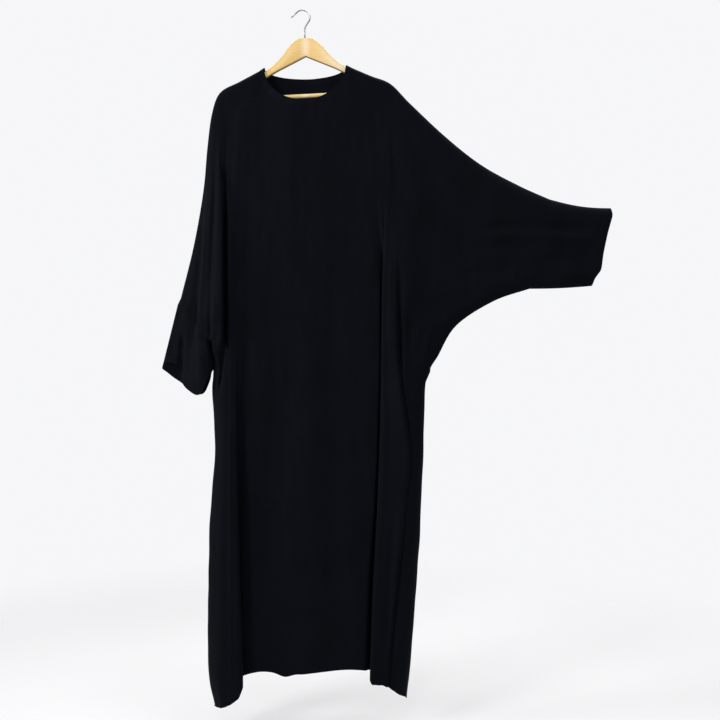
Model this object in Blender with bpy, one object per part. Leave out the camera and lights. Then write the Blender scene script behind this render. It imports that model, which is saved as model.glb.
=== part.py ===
"""Batwing abaya on a wooden hanger.

A closed pull-over abaya of black crepe hangs from a varnished wooden hanger.
One batwing sleeve hangs down beside the body, the other is held out to the side.

Frame: metres, +Z up, +X to the wearer's left (the raised sleeve), the front faces -Y.
The origin is the inner top of the hanger's hook, where a rail or nail would carry it.
"Depth" below is a distance toward the front, so y = -depth.
"""

import math
from collections import namedtuple

import bmesh
import bpy
import numpy as np

# ---------------------------------------------------------------- driving sizes

WALL = 0.002            # cloth wall
SEAM_GAP = 0.0003       # clearance between two sewn pieces
CUFF_GAP = 0.0005       # the same at a cuff seam, which runs aslant
SEAM_ROUND = 0.012      # distance over which a panel rounds away to its side seam
TILT = math.radians(3.0)        # the hanger hangs tilted, its right arm up
FOLD_TURN = 0.003       # radius of the turned edge of a pleat
PLEAT_STEP = 0.016      # least depth from the outer to the inner layer of a turned pleat

# Sections of the garment from the neckline down.  Each row gives where the section meets
# the left seam, its height at the middle of the front, and where it meets the right seam.
# "steps" is the number of mesh rows to the next section.
Section = namedtuple("Section", "name steps left_x left_z middle_z right_x right_z")
SECTIONS = [
    Section("neckline edge",    1, -0.091, -0.1435, -0.222, 0.108, -0.1345),
    Section("neckband seam",    3, -0.104, -0.1505, -0.237, 0.121, -0.1410),
    Section("hanger end",       2, -0.199, -0.2045, -0.305, 0.217, -0.1860),
    Section("shoulder drop",    2, -0.215, -0.253, -0.350, 0.266, -0.233),
    Section("chest",            2, -0.227, -0.339, -0.405, 0.349, -0.311),
    Section("upper arm",        2, -0.236, -0.441, -0.465, 0.439, -0.381),
    Section("elbow",            2, -0.257, -0.575, -0.530, 0.532, -0.432),
    Section("cuff seam top",    6, -0.292, -0.707, -0.600, 0.607, -0.465),
    Section("cuff seam bottom", 2, -0.221, -0.816, -0.690, 0.557, -0.679),
    Section("underarm curve 1", 2, -0.207, -0.832, -0.722, 0.470, -0.712),
    Section("underarm curve 2", 2, -0.207, -0.857, -0.772, 0.378, -0.766),
    Section("underarm curve 3", 2, -0.210, -0.894, -0.845, 0.330, -0.842),
    Section("underarm",         2, -0.213, -0.938, -0.925, 0.300, -0.909),
    Section("waist",            2, -0.209, -1.070, -1.055, 0.294, -1.067),
    Section("hip",              2, -0.218, -1.210, -1.190, 0.288, -1.205),
    Section("knee",             2, -0.224, -1.370, -1.340, 0.278, -1.365),
    Section("calf",             2, -0.224, -1.550, -1.500, 0.265, -1.540),
    Section("hem",              0, -0.210, -1.696, -1.613, 0.253, -1.674),
]
CUFF_TOP = "cuff seam top"
CUFF_BOTTOM = "cuff seam bottom"

# Depth of the front at each of its folds, by height.  The sleeve's ridge and fold, the
# left pleat and the right pleat each have an outer and an inner layer.
Level = namedtuple("Level", "z edge ridge sleeve_fold sleeve_in left_flap left_in middle "
                            "right_in right_flap crease web")
LEVELS = [
    Level(-0.14, 0.012, 0.012, 0.012, 0.012, 0.012, 0.013, 0.020, 0.013, 0.012, 0.012, 0.012),
    Level(-0.24, 0.012, 0.012, 0.012, 0.012, 0.012, 0.014, 0.021, 0.014, 0.012, 0.012, 0.012),
    Level(-0.35, 0.014, 0.016, 0.017, 0.015, 0.016, 0.016, 0.020, 0.015, 0.017, 0.016, 0.014),
    Level(-0.55, 0.016, 0.030, 0.036, 0.020, 0.021, 0.020, 0.023, 0.016, 0.028, 0.022, 0.016),
    Level(-0.80, 0.020, 0.044, 0.042, 0.022, 0.025, 0.022, 0.025, 0.015, 0.032, 0.025, 0.017),
    Level(-0.95, 0.022, 0.032, 0.034, 0.030, 0.030, 0.023, 0.026, 0.015, 0.034, 0.026, 0.020),
    Level(-1.20, 0.024, 0.033, 0.036, 0.035, 0.036, 0.021, 0.027, 0.014, 0.037, 0.028, 0.023),
    Level(-1.45, 0.026, 0.036, 0.040, 0.039, 0.041, 0.019, 0.028, 0.013, 0.040, 0.030, 0.026),
    Level(-1.70, 0.028, 0.039, 0.043, 0.043, 0.046, 0.017, 0.028, 0.012, 0.043, 0.032, 0.028),
]

# Pleats turned in the front.  Each row gives where the pleat opens, where it is full, where
# it starts to close and where it has closed, and how far the outer layer laps the inner.
Pleat = namedtuple("Pleat", "name z_open z_full z_close z_shut lap_full lap_end")
SLEEVE_FOLD = Pleat("sleeve fold", -0.33, -0.55, -0.79, -0.865, 0.016, 0.016)
LEFT_PLEAT = Pleat("left pleat", -0.80, -1.35, -2.0, -2.1, 0.030, 0.040)
RIGHT_PLEAT = Pleat("right pleat", -0.40, -0.70, -2.0, -2.1, 0.014, 0.030)

# Where the lines of the folds run: x at each height.
FoldLine = namedtuple("FoldLine", "z x")
SLEEVE_RIDGE = [FoldLine(-0.35, -0.216), FoldLine(-0.50, -0.232), FoldLine(-0.70, -0.239),
                FoldLine(-0.78, -0.249), FoldLine(-0.90, -0.262)]
SLEEVE_FOLD_LINE = [FoldLine(-0.20, -0.172), FoldLine(-0.35, -0.189), FoldLine(-0.45, -0.186),
                    FoldLine(-0.80, -0.184), FoldLine(-0.90, -0.191), FoldLine(-1.00, -0.193),
                    FoldLine(-1.70, -0.186)]
LEFT_PLEAT_LINE = [FoldLine(-0.20, -0.125), FoldLine(-0.45, -0.146), FoldLine(-0.90, -0.142),
                   FoldLine(-1.60, -0.134), FoldLine(-1.70, -0.139)]
RIGHT_PLEAT_LINE = [FoldLine(-0.20, 0.165), FoldLine(-0.45, 0.192), FoldLine(-0.75, 0.192),
                    FoldLine(-1.00, 0.184), FoldLine(-1.30, 0.174), FoldLine(-1.70, 0.166)]
SIDE_CREASE_LINE = [FoldLine(-0.20, 0.205), FoldLine(-0.40, 0.232), FoldLine(-0.60, 0.234),
                    FoldLine(-0.90, 0.241), FoldLine(-0.99, 0.251), FoldLine(-1.06, 0.270),
                    FoldLine(-1.23, 0.255), FoldLine(-1.39, 0.235), FoldLine(-1.62, 0.210),
                    FoldLine(-1.70, 0.206)]
CREASE_HALF_WIDTH = 0.008
CREASE_DROP = 0.005     # the side crease is a trough this deep
CREASE_START, CREASE_FULL = -0.58, -0.80
WEB_X = 0.330           # from here outwards the raised wing has its even depth

# Height of the hem below its section line at each fold, fading out upwards.
HemDrop = namedtuple("HemDrop", "edge ridge sleeve_fold left_flap left_in middle "
                                "right_in right_flap crease")
HEM_DROP = HemDrop(0.0, -0.008, -0.024, -0.019, 0.013, -0.003, 0.016, -0.004, -0.003)
HEM_FADE = 0.45
BOW_HIGH, BOW_LOW = 1.35, 4.0       # a section bows evenly above and at its ends below
BOW_START, BOW_FULL = -0.95, -1.45      # heights where the bow starts to change and is changed

# Mesh columns in each stretch of the front, from the left seam to the right seam.
LEFT_EDGE_STEPS = (0.0, 0.07, 0.25, 0.58)       # shares of the way from seam to ridge
RIGHT_EDGE_STEPS = (0.17, 0.36, 0.56, 0.76, 0.90, 0.97, 0.993, 1.0)   # crease to seam
INNER_STEPS = {"sleeve": 2, "side": 3, "left middle": 4, "right middle": 4, "flap": 2}
NECK_SHARE = 0.78       # how far the columns crowd toward the ends of the neckline

# The back: depth behind the seams by height, and its soft folds.
BackLevel = namedtuple("BackLevel", "z depth")
BACK_LEVELS = [BackLevel(-0.14, 0.012), BackLevel(-0.24, 0.012), BackLevel(-0.40, 0.015),
               BackLevel(-0.60, 0.019), BackLevel(-0.85, 0.022), BackLevel(-1.20, 0.025),
               BackLevel(-1.70, 0.027)]
BackFold = namedtuple("BackFold", "x_top x_bottom half_width height")
BACK_FOLDS = [
    BackFold(-0.130, -0.150, 0.030, 0.010),
    BackFold(-0.060, -0.075, 0.026, -0.007),
    BackFold(0.010, 0.000, 0.034, 0.011),
    BackFold(0.105, 0.085, 0.028, -0.006),
    BackFold(0.190, 0.170, 0.032, 0.010),
]
BACK_FOLD_START, BACK_FOLD_FULL = -0.35, -1.30
BACK_NECK_RISE = 0.040      # the back neckline lies this much above the front one
BACK_EDGE_STEPS = (0.0, 0.010, 0.035)       # shares of the body's width, from the left seam
BACK_BODY_COLUMNS = 18
BACK_SIDE_X = 0.225         # the body's columns end here, and the wing's begin

# Cuffs: the line of each end, from its over-arm corner to its underarm corner.
Cuff = namedtuple("Cuff", "name rings over_x over_z low_x low_z under_x under_z low_share "
                          "depth front_rise")
CUFFS = {
    "left": Cuff("cuff_hanging", 5, -0.334, -0.872, -0.247, -0.937, -0.216, -0.878, 0.62,
                 0.026, 0.016),
    "right": Cuff("cuff_raised", 5, 0.753, -0.489, 0.731, -0.583, 0.708, -0.668, 0.50,
                  0.012, 0.0),
}

# Hanger, in its own upright frame about the hook.
Arm = namedtuple("Arm", "x top bottom")
BAR_RADIUS = 0.0055
BAR_HALF_LENGTH = 0.1780
BAR_Z = -0.2090
ARM_SECTIONS = [
    Arm(0.0, -0.0650, -0.1115),
    Arm(0.012, -0.0660, -0.1120),
    Arm(0.026, -0.0735, -0.1170),
    Arm(0.041, -0.0880, -0.1245),
    Arm(0.055, -0.1060, -0.1335),
    Arm(0.070, -0.1220, -0.1430),
    Arm(0.088, -0.1365, -0.1545),
    Arm(0.108, -0.1500, -0.1665),
    Arm(0.132, -0.1614, -0.1790),
    Arm(0.158, -0.1738, -0.1920),
    Arm(BAR_HALF_LENGTH, -0.1839, BAR_Z + BAR_RADIUS + SEAM_GAP),
    Arm(BAR_HALF_LENGTH + 0.0006, -0.1842, -0.2165),
    Arm(0.188, -0.1896, -0.2175),
    Arm(0.195, -0.1960, -0.2150),
]
ARM_CURVED = 10             # this many sections are joined by a smooth curve
ARM_HALF_THICK = 0.007
ARM_EDGE_ROUND = 0.0045
ARM_RING_POINTS = 4         # points on each rounded corner
STEM_X = 0.0036             # the hook's stem stands here on the wood
WIRE_RADIUS = 0.0019
STEM_LENGTH = 0.014
HOOK_RADIUS = 0.0185        # bend of the hook, to the middle of its wire
HOOK_BEND = (-38, 130)      # degrees, from the stem's side over the top
HOOK_STEPS = 20
HOOK_TIP = 0.018            # the straight flare at the free end

CREPE = ("black_crepe", (0.0040, 0.0048, 0.0070), 0.82, 0.0)
CREPE_BAND = ("black_crepe_band", (0.0046, 0.0054, 0.0078), 0.78, 0.0)
BEECH = ("varnished_beech", (0.80, 0.51, 0.17), 0.34, 0.0)
CHROME = ("chrome_wire", (0.62, 0.62, 0.62), 0.22, 1.0)


# ---------------------------------------------------------------- small maths

def ease(start, end, value):
    """0 before start, 1 after end, with a smooth way between; works either way round."""
    share = np.clip((np.asarray(value, float) - start) / (end - start), 0.0, 1.0)
    return share * share * (3.0 - 2.0 * share)


def curve_through(values, share):
    """Catmull-Rom curve through evenly numbered values, at a fractional number."""
    last = len(values) - 1
    i = min(int(share), last - 1)
    f = share - i
    p1, p2 = values[i], values[i + 1]
    p0 = values[i - 1] if i > 0 else 2 * p1 - p2
    p3 = values[i + 2] if i + 2 <= last else 2 * p2 - p1
    return 0.5 * (2 * p1 + (p2 - p0) * f + (2 * p0 - 5 * p1 + 4 * p2 - p3) * f * f
                  + (3 * p1 - p0 - 3 * p2 + p3) * f ** 3)


def line_x(line, z):
    """x of a fold line at a height."""
    rows = sorted(line, key=lambda row: row.z)
    return float(np.interp(z, [row.z for row in rows], [row.x for row in rows]))


def level_at(z):
    """Front depths at a height, by name."""
    rows = sorted(LEVELS, key=lambda row: row.z)
    heights = [row.z for row in rows]
    return Level(*[float(np.interp(z, heights, column)) for column in zip(*rows)])


def pleat_share(pleat, z):
    """How far a pleat is turned at a height, 0 to 1, and its lap there."""
    share = float(ease(pleat.z_open, pleat.z_full, z) * (1 - ease(pleat.z_close, pleat.z_shut, z)))
    down = float(np.clip((pleat.z_full - z) / 0.9, 0, 1))
    return share, pleat.lap_full + (pleat.lap_end - pleat.lap_full) * down


# ---------------------------------------------------------------- sections of the cloth

Row = namedtuple("Row", "left_x left_z middle_z right_x right_z neck_share on_cuff")


def garment_rows():
    """Every mesh row: the named sections and the rows between them."""
    names = [s.name for s in SECTIONS]
    top, bottom = names.index(CUFF_TOP), names.index(CUFF_BOTTOM)
    table = np.array([s[2:] for s in SECTIONS])
    rows = []
    for i, section in enumerate(SECTIONS):
        for step in range(max(section.steps, 1)):
            share = step / max(section.steps, 1)
            if i == top:        # closer together at the two ends of the cuff seam
                share = (1 - math.cos(math.pi * share)) / 2
                values = table[i] + (table[i + 1] - table[i]) * share
            elif i < top:
                values = curve_through(table[:top + 1], i + share)
            else:
                values = curve_through(table[bottom:], i - bottom + share)
            neck = float(1 - ease(-0.225, -0.40, values[2]))
            rows.append(Row(*values, neck, i == top and step > 0))
    return rows


ROWS = garment_rows()


def row_height(row, x, neck_rise=0.0):
    """Height of a row at x: a bow between its middle and its two ends."""
    end_x = np.where(x < 0, row.left_x, row.right_x)
    end_z = np.where(x < 0, row.left_z, row.right_z)
    middle = row.middle_z + neck_rise * row.neck_share
    t = np.clip(np.asarray(x) / end_x, 0, 1)
    power = BOW_HIGH + (BOW_LOW - BOW_HIGH) * float(ease(BOW_START, BOW_FULL, row.middle_z))
    bow = row.neck_share * (1 - np.sqrt(1 - t * t)) + (1 - row.neck_share) * t ** power
    return middle + (end_z - middle) * bow


def seam_distance(points, rows):
    """Distance of each point from the nearer side seam, seen from the front."""
    flat = points[..., (0, 2)].reshape(-1, 2)
    best = np.full(len(flat), 1.0)
    for side in (0, 3):
        ends = np.array([(r[side], r[side + 1]) for r in rows])
        for a, b, row, following in zip(ends[:-1], ends[1:], rows[:-1], rows[1:]):
            if row.on_cuff or following.on_cuff:
                continue
            along = b - a
            share = np.clip((flat - a) @ along / (along @ along), 0, 1)
            best = np.minimum(best, np.linalg.norm(flat - a - share[:, None] * along, axis=1))
    return best.reshape(points.shape[:-1])


def seam_rounding(distance):
    """Share of a panel's depth that is left close to its side seam."""
    return np.sqrt(1 - (1 - np.minimum(distance / SEAM_ROUND, 1)) ** 2)


def turned_edge(outer_x, outer_depth, inner_depth, lap, share, spread):
    """Six columns of a pleat from its outer to its inner layer; lap < 0 turns it leftwards."""
    side = math.copysign(1.0, lap)
    inner_depth = min(inner_depth, outer_depth - PLEAT_STEP * min(1.0, 4 * share))
    turn = FOLD_TURN
    turned = [(-turn, 0), (0, turn), (-turn, 2 * turn)]
    depth = outer_depth - inner_depth
    columns = []
    for i in range(6):
        flat_x = outer_x + side * (i - 2.5) * spread
        flat_depth = outer_depth + (inner_depth - outer_depth) * (i + 0.5) / 6
        if i < 3:
            x, drop = turned[i]
        else:
            dx, dd = turned[5 - i]
            x, drop = -abs(lap) - dx, depth - dd
        fold_x, fold_depth = outer_x + side * x, outer_depth - drop
        columns.append((flat_x + (fold_x - flat_x) * share,
                        flat_depth + (fold_depth - flat_depth) * share))
    return columns


def between(start, end, count):
    """count points between two (x, depth) points, ends left out, in a soft curve."""
    points = []
    for i in range(1, count + 1):
        share = i / (count + 1)
        points.append((start[0] + (end[0] - start[0]) * share,
                       start[1] + (end[1] - start[1]) * float(ease(0, 1, share))))
    return points


def front_columns(row):
    """(x, depth, hem drop) for every column of a row of the front."""
    z = row_height(row, np.array([-0.185, -0.14, 0.18, 0.235]))
    fold_x = max(line_x(SLEEVE_FOLD_LINE, z[0]), row.left_x + 0.016)
    left_x = line_x(LEFT_PLEAT_LINE, z[1])
    right_x = line_x(RIGHT_PLEAT_LINE, z[2])
    crease_x = min(line_x(SIDE_CREASE_LINE, z[3]), row.right_x - 0.022)
    left, mid, right = level_at(z[0]), level_at(row.middle_z), level_at(z[3])
    ridge_x = line_x(SLEEVE_RIDGE, row.left_z)
    ridge_x = min(max(ridge_x, row.left_x + 0.35 * (fold_x - row.left_x)), fold_x - 0.012)
    fold_share, fold_lap = pleat_share(SLEEVE_FOLD, z[0])
    left_share, left_lap = pleat_share(LEFT_PLEAT, z[1])
    right_share, right_lap = pleat_share(RIGHT_PLEAT, z[2])

    ridge = (ridge_x, left.ridge)
    fold = turned_edge(fold_x, left.sleeve_fold, left.sleeve_in, fold_lap, fold_share, 0.0035)
    flap = turned_edge(left_x, mid.left_flap, mid.left_in, left_lap, left_share, 0.006)
    turn = turned_edge(right_x, right.right_flap, mid.right_in, -right_lap, right_share, 0.006)
    turn.reverse()
    middle = (0.0, mid.middle)
    drop = CREASE_DROP * float(ease(CREASE_START, CREASE_FULL, z[3]))
    crease = [(crease_x - CREASE_HALF_WIDTH, right.crease), (crease_x, right.crease - drop),
              (crease_x + CREASE_HALF_WIDTH, right.crease)]

    columns = [(row.left_x + (ridge_x - row.left_x) * s,
                left.edge + (left.ridge - left.edge) * s) for s in LEFT_EDGE_STEPS]
    columns += [ridge] + between(ridge, fold[0], INNER_STEPS["sleeve"]) + fold
    columns += between(fold[-1], flap[0], INNER_STEPS["side"]) + flap
    columns += between(flap[-1], middle, INNER_STEPS["left middle"]) + [middle]
    columns += between(middle, turn[0], INNER_STEPS["right middle"]) + turn
    columns += between(turn[-1], crease[0], INNER_STEPS["flap"]) + crease
    start = crease[-1]
    for s in RIGHT_EDGE_STEPS:
        x = start[0] + (row.right_x - start[0]) * s
        depth = np.interp(x, [start[0], WEB_X], [start[1], right.web])
        columns.append((x, float(depth)))
    return columns


def hem_drops():
    """Hem drop of every column, in the order of front_columns."""
    d = HEM_DROP
    drops = [d.edge + (d.ridge - d.edge) * s for s in LEFT_EDGE_STEPS] + [d.ridge]

    def run(start, end, count):
        return [start + (end - start) * (i + 1) / (count + 1) for i in range(count)]

    drops += run(d.ridge, d.sleeve_fold, INNER_STEPS["sleeve"]) + [d.sleeve_fold] * 6
    drops += run(d.sleeve_fold, d.left_flap, INNER_STEPS["side"])
    drops += list(np.linspace(d.left_flap, d.left_in, 6))
    drops += run(d.left_in, d.middle, INNER_STEPS["left middle"]) + [d.middle]
    drops += run(d.middle, d.right_in, INNER_STEPS["right middle"])
    drops += list(np.linspace(d.right_in, d.right_flap, 6))
    drops += run(d.right_flap, d.crease, INNER_STEPS["flap"]) + [d.crease] * 3
    drops += [d.crease * (1 - s) for s in RIGHT_EDGE_STEPS]
    return np.array(drops)


def crowd(row, x):
    """Columns of a row spread evenly round the neckline, then as their folds ask."""
    numbers = np.linspace(-1, 1, len(x))
    half = np.where(numbers < 0, -row.left_x, row.right_x)
    round_neck = half * np.sin(numbers * math.pi / 2)
    return x + (round_neck - x) * row.neck_share ** NECK_SHARE


def front_surface():
    """Outer points of the front, a row for each garment row."""
    drops = hem_drops()
    grid = np.empty((len(ROWS), len(drops), 3))
    for j, row in enumerate(ROWS):
        columns = np.array(front_columns(row))
        x, depth = columns[:, 0], columns[:, 1]
        if row.neck_share > 0:
            spread = crowd(row, x)
            x, depth = spread, np.interp(spread, x, depth)
        hem_share = float(ease(SECTIONS[-1].middle_z + HEM_FADE, SECTIONS[-1].middle_z, row.middle_z))
        grid[j] = np.stack([x, depth, row_height(row, x) + drops * hem_share], axis=1)
    depth = grid[..., 1] * seam_rounding(seam_distance(grid, ROWS)) + SEAM_GAP / 2
    grid[..., 1] = -depth
    return grid


def back_surface():
    """Outer points of the back, on the same rows."""
    body = np.concatenate([BACK_EDGE_STEPS, np.linspace(0, 1, BACK_BODY_COLUMNS + 1)[2:]])
    levels = sorted(BACK_LEVELS, key=lambda row: row.z)
    grid = np.empty((len(ROWS), len(body) + len(RIGHT_EDGE_STEPS), 3))
    for j, row in enumerate(ROWS):
        side_x = min(BACK_SIDE_X, row.right_x - 0.03)
        wing = side_x + (row.right_x - side_x) * np.array(RIGHT_EDGE_STEPS)
        x = np.concatenate([row.left_x + (side_x - row.left_x) * body, wing])
        x = crowd(row, x)
        z = row_height(row, x, BACK_NECK_RISE)
        grid[j] = np.stack([x, np.zeros_like(x), z], axis=1)
    z = grid[..., 2]
    depth = np.interp(z, [row.z for row in levels], [row.depth for row in levels])
    growth = ease(BACK_FOLD_START, BACK_FOLD_FULL, z)
    for fold in BACK_FOLDS:
        centre = fold.x_top + (fold.x_bottom - fold.x_top) * growth
        depth = depth + fold.height * growth * np.exp(-((grid[..., 0] - centre) / fold.half_width) ** 2)
    grid[..., 1] = depth * seam_rounding(seam_distance(grid, ROWS)) + SEAM_GAP / 2
    return grid


# ---------------------------------------------------------------- cloth walls

def surface_normals(grid, closed=False):
    """Unit normals of a grid of points, by the differences to the neighbours."""
    if closed:
        across = np.roll(grid, -1, axis=1) - np.roll(grid, 1, axis=1)
    else:
        across = np.gradient(grid, axis=1)
    down = np.gradient(grid, axis=0)
    normals = np.cross(across, down)
    return normals / np.linalg.norm(normals, axis=2, keepdims=True)


def sheet_object(name, outer, inner, material, closed=False):
    """A closed wall between two grids of points; closed joins its first and last column."""
    rows, columns = outer.shape[:2]
    width = columns + 1 if closed else columns
    bm = bmesh.new()
    bmesh.ops.create_grid(bm, x_segments=width - 1, y_segments=rows - 1, size=0.5)
    for vert in bm.verts:
        column = round((vert.co.x + 0.5) * (width - 1)) % columns
        row = round((0.5 - vert.co.y) * (rows - 1))
        vert.co = outer[row, column]
    if closed:
        bmesh.ops.remove_doubles(bm, verts=bm.verts[:], dist=1e-6)
    skin = set(bm.verts)
    places = {tuple(np.float32(point).tolist()): tuple(index)
              for index, point in zip(np.ndindex(rows, columns), outer.reshape(-1, 3))}
    bmesh.ops.extrude_face_region(bm, geom=bm.faces[:])
    for vert in bm.verts:
        if vert not in skin:
            vert.co = inner[places[tuple(vert.co)]]
    bmesh.ops.recalc_face_normals(bm, faces=bm.faces[:])
    return mesh_object(name, bm, material)


def mesh_object(name, bm, material):
    mesh = bpy.data.meshes.new(name)
    bm.to_mesh(mesh)
    bm.free()
    mesh.shade_smooth()
    obj = bpy.data.objects.new(name, mesh)
    obj.data.materials.append(material)
    COLLECTION.objects.link(obj)
    return obj


def cuff_rows():
    """First and last row that end on a cuff seam."""
    names = [s.name for s in SECTIONS]
    first = sum(s.steps for s in SECTIONS[:names.index(CUFF_TOP)])
    return first, first + SECTIONS[names.index(CUFF_TOP)].steps


def square_to(normals, direction):
    """Normals with their share along a direction taken out, so the wall meets it square."""
    normals = normals - (normals @ direction)[..., None] * direction
    return normals / np.linalg.norm(normals, axis=-1, keepdims=True)


def cuff_direction(surface, column):
    """Level direction from the sleeve into its cuff, square to the cuff seam."""
    first, last = cuff_rows()
    seam = surface[last, column] - surface[first, column]
    direction = np.array([seam[2], 0.0, -seam[0]]) / math.hypot(seam[0], seam[2])
    return -direction if column else direction


def panel(name, surface, outward, material):
    """A panel below the neckband, its wall square to the side seams and the cuff seams."""
    outer = surface[1:]
    normals = surface_normals(outer)
    normals = normals * np.sign(normals[len(outer) // 2, outer.shape[1] // 2, 1] * outward)
    free_edge = np.array([not row.on_cuff for row in ROWS[1:]])
    first, last = cuff_rows()
    for column in (0, -1):
        normals[free_edge, column] = square_to(normals[free_edge, column], np.array([0.0, 1.0, 0.0]))
        seam = slice(first - 1, last)
        normals[seam, column] = square_to(normals[seam, column], cuff_direction(surface, column))
    return sheet_object(name, outer, outer - normals * WALL, material)


def neckband(front, back, material):
    """The band round the neckline: one loop of the front's and the back's first two rows."""
    loop = np.concatenate([front[:2], back[:2, -2:0:-1]], axis=1)
    loop[1] += (loop[0] - loop[1]) * SEAM_GAP / np.linalg.norm(loop[0] - loop[1], axis=1, keepdims=True)
    middle = (loop[0] + loop[1]) / 2
    outer = np.stack([loop[0], middle, loop[1]])
    for number in (0, front.shape[1] - 1):
        outer[:, number, 1] = 0.0
    normals = surface_normals(outer, closed=True)
    centre = outer.mean(axis=(0, 1))
    facing = np.sum(normals * (outer - centre), axis=2).mean()
    return sheet_object("neckband", outer, outer - np.sign(facing) * normals * WALL, material, closed=True)


def cuff_end_line(cuff, shares):
    """Points along a cuff's end from the over-arm corner, round its lowest corner."""
    corners = np.array([(cuff.over_x, cuff.over_z), (cuff.low_x, cuff.low_z),
                        (cuff.under_x, cuff.under_z)])
    places = np.array([0.0, cuff.low_share, 1.0])
    soft = 0.06
    smooth = [np.mean([[np.interp(s + d, places, corners[:, k]) for k in (0, 1)]
                       for d in (-soft, 0.0, soft)], axis=0)
              if soft < s < 1 - soft else [np.interp(s, places, corners[:, k]) for k in (0, 1)]
              for s in shares]
    return np.array(smooth)


def cuff_object(cuff, front, back, column, material):
    """A tube lofted from the ring of the cuff seam to the cuff's end."""
    first, last = cuff_rows()
    ring = np.concatenate([front[first:last + 1, column], back[last - 1:first:-1, column]])
    ring[0, 1] = ring[last - first, 1] = 0.0
    half = last - first
    shares = np.array([(1 - math.cos(math.pi * i / half)) / 2 for i in range(half + 1)])
    line = cuff_end_line(cuff, shares)
    length = np.linalg.norm(np.diff(line, axis=0), axis=1).sum()
    bulge = cuff.depth * seam_rounding(length * np.minimum(shares, 1 - shares))
    rise = cuff.front_rise * np.exp(-((shares - 0.12) / 0.13) ** 2)
    end_front = np.stack([line[:, 0], -bulge, line[:, 1] + rise], axis=1)
    end_back = np.stack([line[:, 0], bulge * 0.8, line[:, 1]], axis=1)
    end = np.concatenate([end_front, end_back[-2:0:-1]])
    end[0, 2] = line[0, 1]
    outward = cuff_direction(front, column)
    start = ring + outward * CUFF_GAP
    outer = np.stack([start + (end - start) * i / cuff.rings for i in range(cuff.rings + 1)])
    normals = surface_normals(outer, closed=True)
    normals[0] = square_to(normals[0], outward)
    for number in (0, half):
        normals[0, number] = square_to(normals[0, number], np.array([0.0, 1.0, 0.0]))
    centre = outer.mean(axis=1, keepdims=True)
    facing = np.sum(normals * (outer - centre), axis=2).mean()
    return sheet_object(cuff.name, outer, outer - np.sign(facing) * normals * WALL, material, closed=True)


# ---------------------------------------------------------------- hanger

def tilt(x, y, z):
    """From the hanger's upright frame to the part's frame."""
    return (x * math.cos(TILT) - z * math.sin(TILT), y, x * math.sin(TILT) + z * math.cos(TILT))


def arm_ring(section, side):
    """Rounded-rectangle ring of the wood at one section."""
    middle, half = (section.top + section.bottom) / 2, (section.top - section.bottom) / 2
    points = []
    for corner in range(4):
        sign_y = 1 if corner in (0, 3) else -1
        sign_z = 1 if corner in (0, 1) else -1
        for i in range(ARM_RING_POINTS):
            angle = math.pi / 2 * (corner + i / (ARM_RING_POINTS - 1))
            y = sign_y * (ARM_HALF_THICK - ARM_EDGE_ROUND) + ARM_EDGE_ROUND * math.cos(angle)
            z = middle + sign_z * (half - ARM_EDGE_ROUND) + ARM_EDGE_ROUND * math.sin(angle)
            points.append(tilt(side * section.x, y, z))
    return points


def hanger_body(material):
    """Both arms in one piece of wood: rings from one end to the other, bridged."""
    table = np.array(ARM_SECTIONS)
    fine = [Arm(*curve_through(table[:ARM_CURVED], i / 2)) for i in range(2 * ARM_CURVED - 1)]
    arm = fine + ARM_SECTIONS[ARM_CURVED:]
    sections = [(s, -1) for s in reversed(arm)] + [(s, 1) for s in arm[1:]]
    count = 4 * ARM_RING_POINTS
    bm = bmesh.new()
    rings = []
    for section, side in sections:
        ring = bmesh.ops.create_circle(bm, segments=count, radius=1.0)["verts"]
        for vert, point in zip(ring, arm_ring(section, side)):
            vert.co = point
        rings.append([edge for edge in bm.edges if edge.verts[0] in ring and edge.verts[1] in ring])
    for first, second in zip(rings[:-1], rings[1:]):
        bmesh.ops.bridge_loops(bm, edges=first + second)
    bmesh.ops.holes_fill(bm, edges=rings[0] + rings[-1], sides=count)
    bmesh.ops.recalc_face_normals(bm, faces=bm.faces[:])
    return mesh_object("hanger_body", bm, material)


def wire_object(name, points, radius, resolution, material):
    """A round rod along a path, as a curve with filled caps."""
    curve = bpy.data.curves.new(name, "CURVE")
    curve.dimensions = "3D"
    curve.bevel_depth = radius
    curve.bevel_resolution = resolution
    curve.use_fill_caps = True
    spline = curve.splines.new("POLY")
    spline.points.add(len(points) - 1)
    for point, place in zip(spline.points, points):
        point.co = (*place, 1.0)
    obj = bpy.data.objects.new(name, curve)
    obj.data.materials.append(material)
    COLLECTION.objects.link(obj)
    return obj


def hanger_bar(material):
    ends = [tilt(side * (BAR_HALF_LENGTH - SEAM_GAP), 0, BAR_Z) for side in (-1, 1)]
    return wire_object("hanger_bar", ends, BAR_RADIUS, 4, material)


def hanger_hook(material):
    """Straight stem, a sweep to the right, the round bend over the rail, a flared tip."""
    centre_z = WIRE_RADIUS - HOOK_RADIUS
    seat = ARM_SECTIONS[0].top + SEAM_GAP
    stem = [(STEM_X, seat), (STEM_X, seat + STEM_LENGTH)]
    angles = np.radians(np.linspace(*HOOK_BEND, HOOK_STEPS + 1))
    bend = [(HOOK_RADIUS * math.cos(a), centre_z + HOOK_RADIUS * math.sin(a)) for a in angles]
    sweep = [(STEM_X + (bend[0][0] - STEM_X) * float(ease(0, 1, i / 5)),
              stem[1][1] + (bend[0][1] - stem[1][1]) * i / 5) for i in range(1, 5)]
    finish = angles[-1]
    tip = [(bend[-1][0] - math.sin(finish) * HOOK_TIP, bend[-1][1] + math.cos(finish) * HOOK_TIP)]
    path = [tilt(x, 0.0, z) for x, z in stem + sweep + bend + tip]
    return wire_object("hanger_hook", path, WIRE_RADIUS, 2, material)


# ---------------------------------------------------------------- the object

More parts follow.
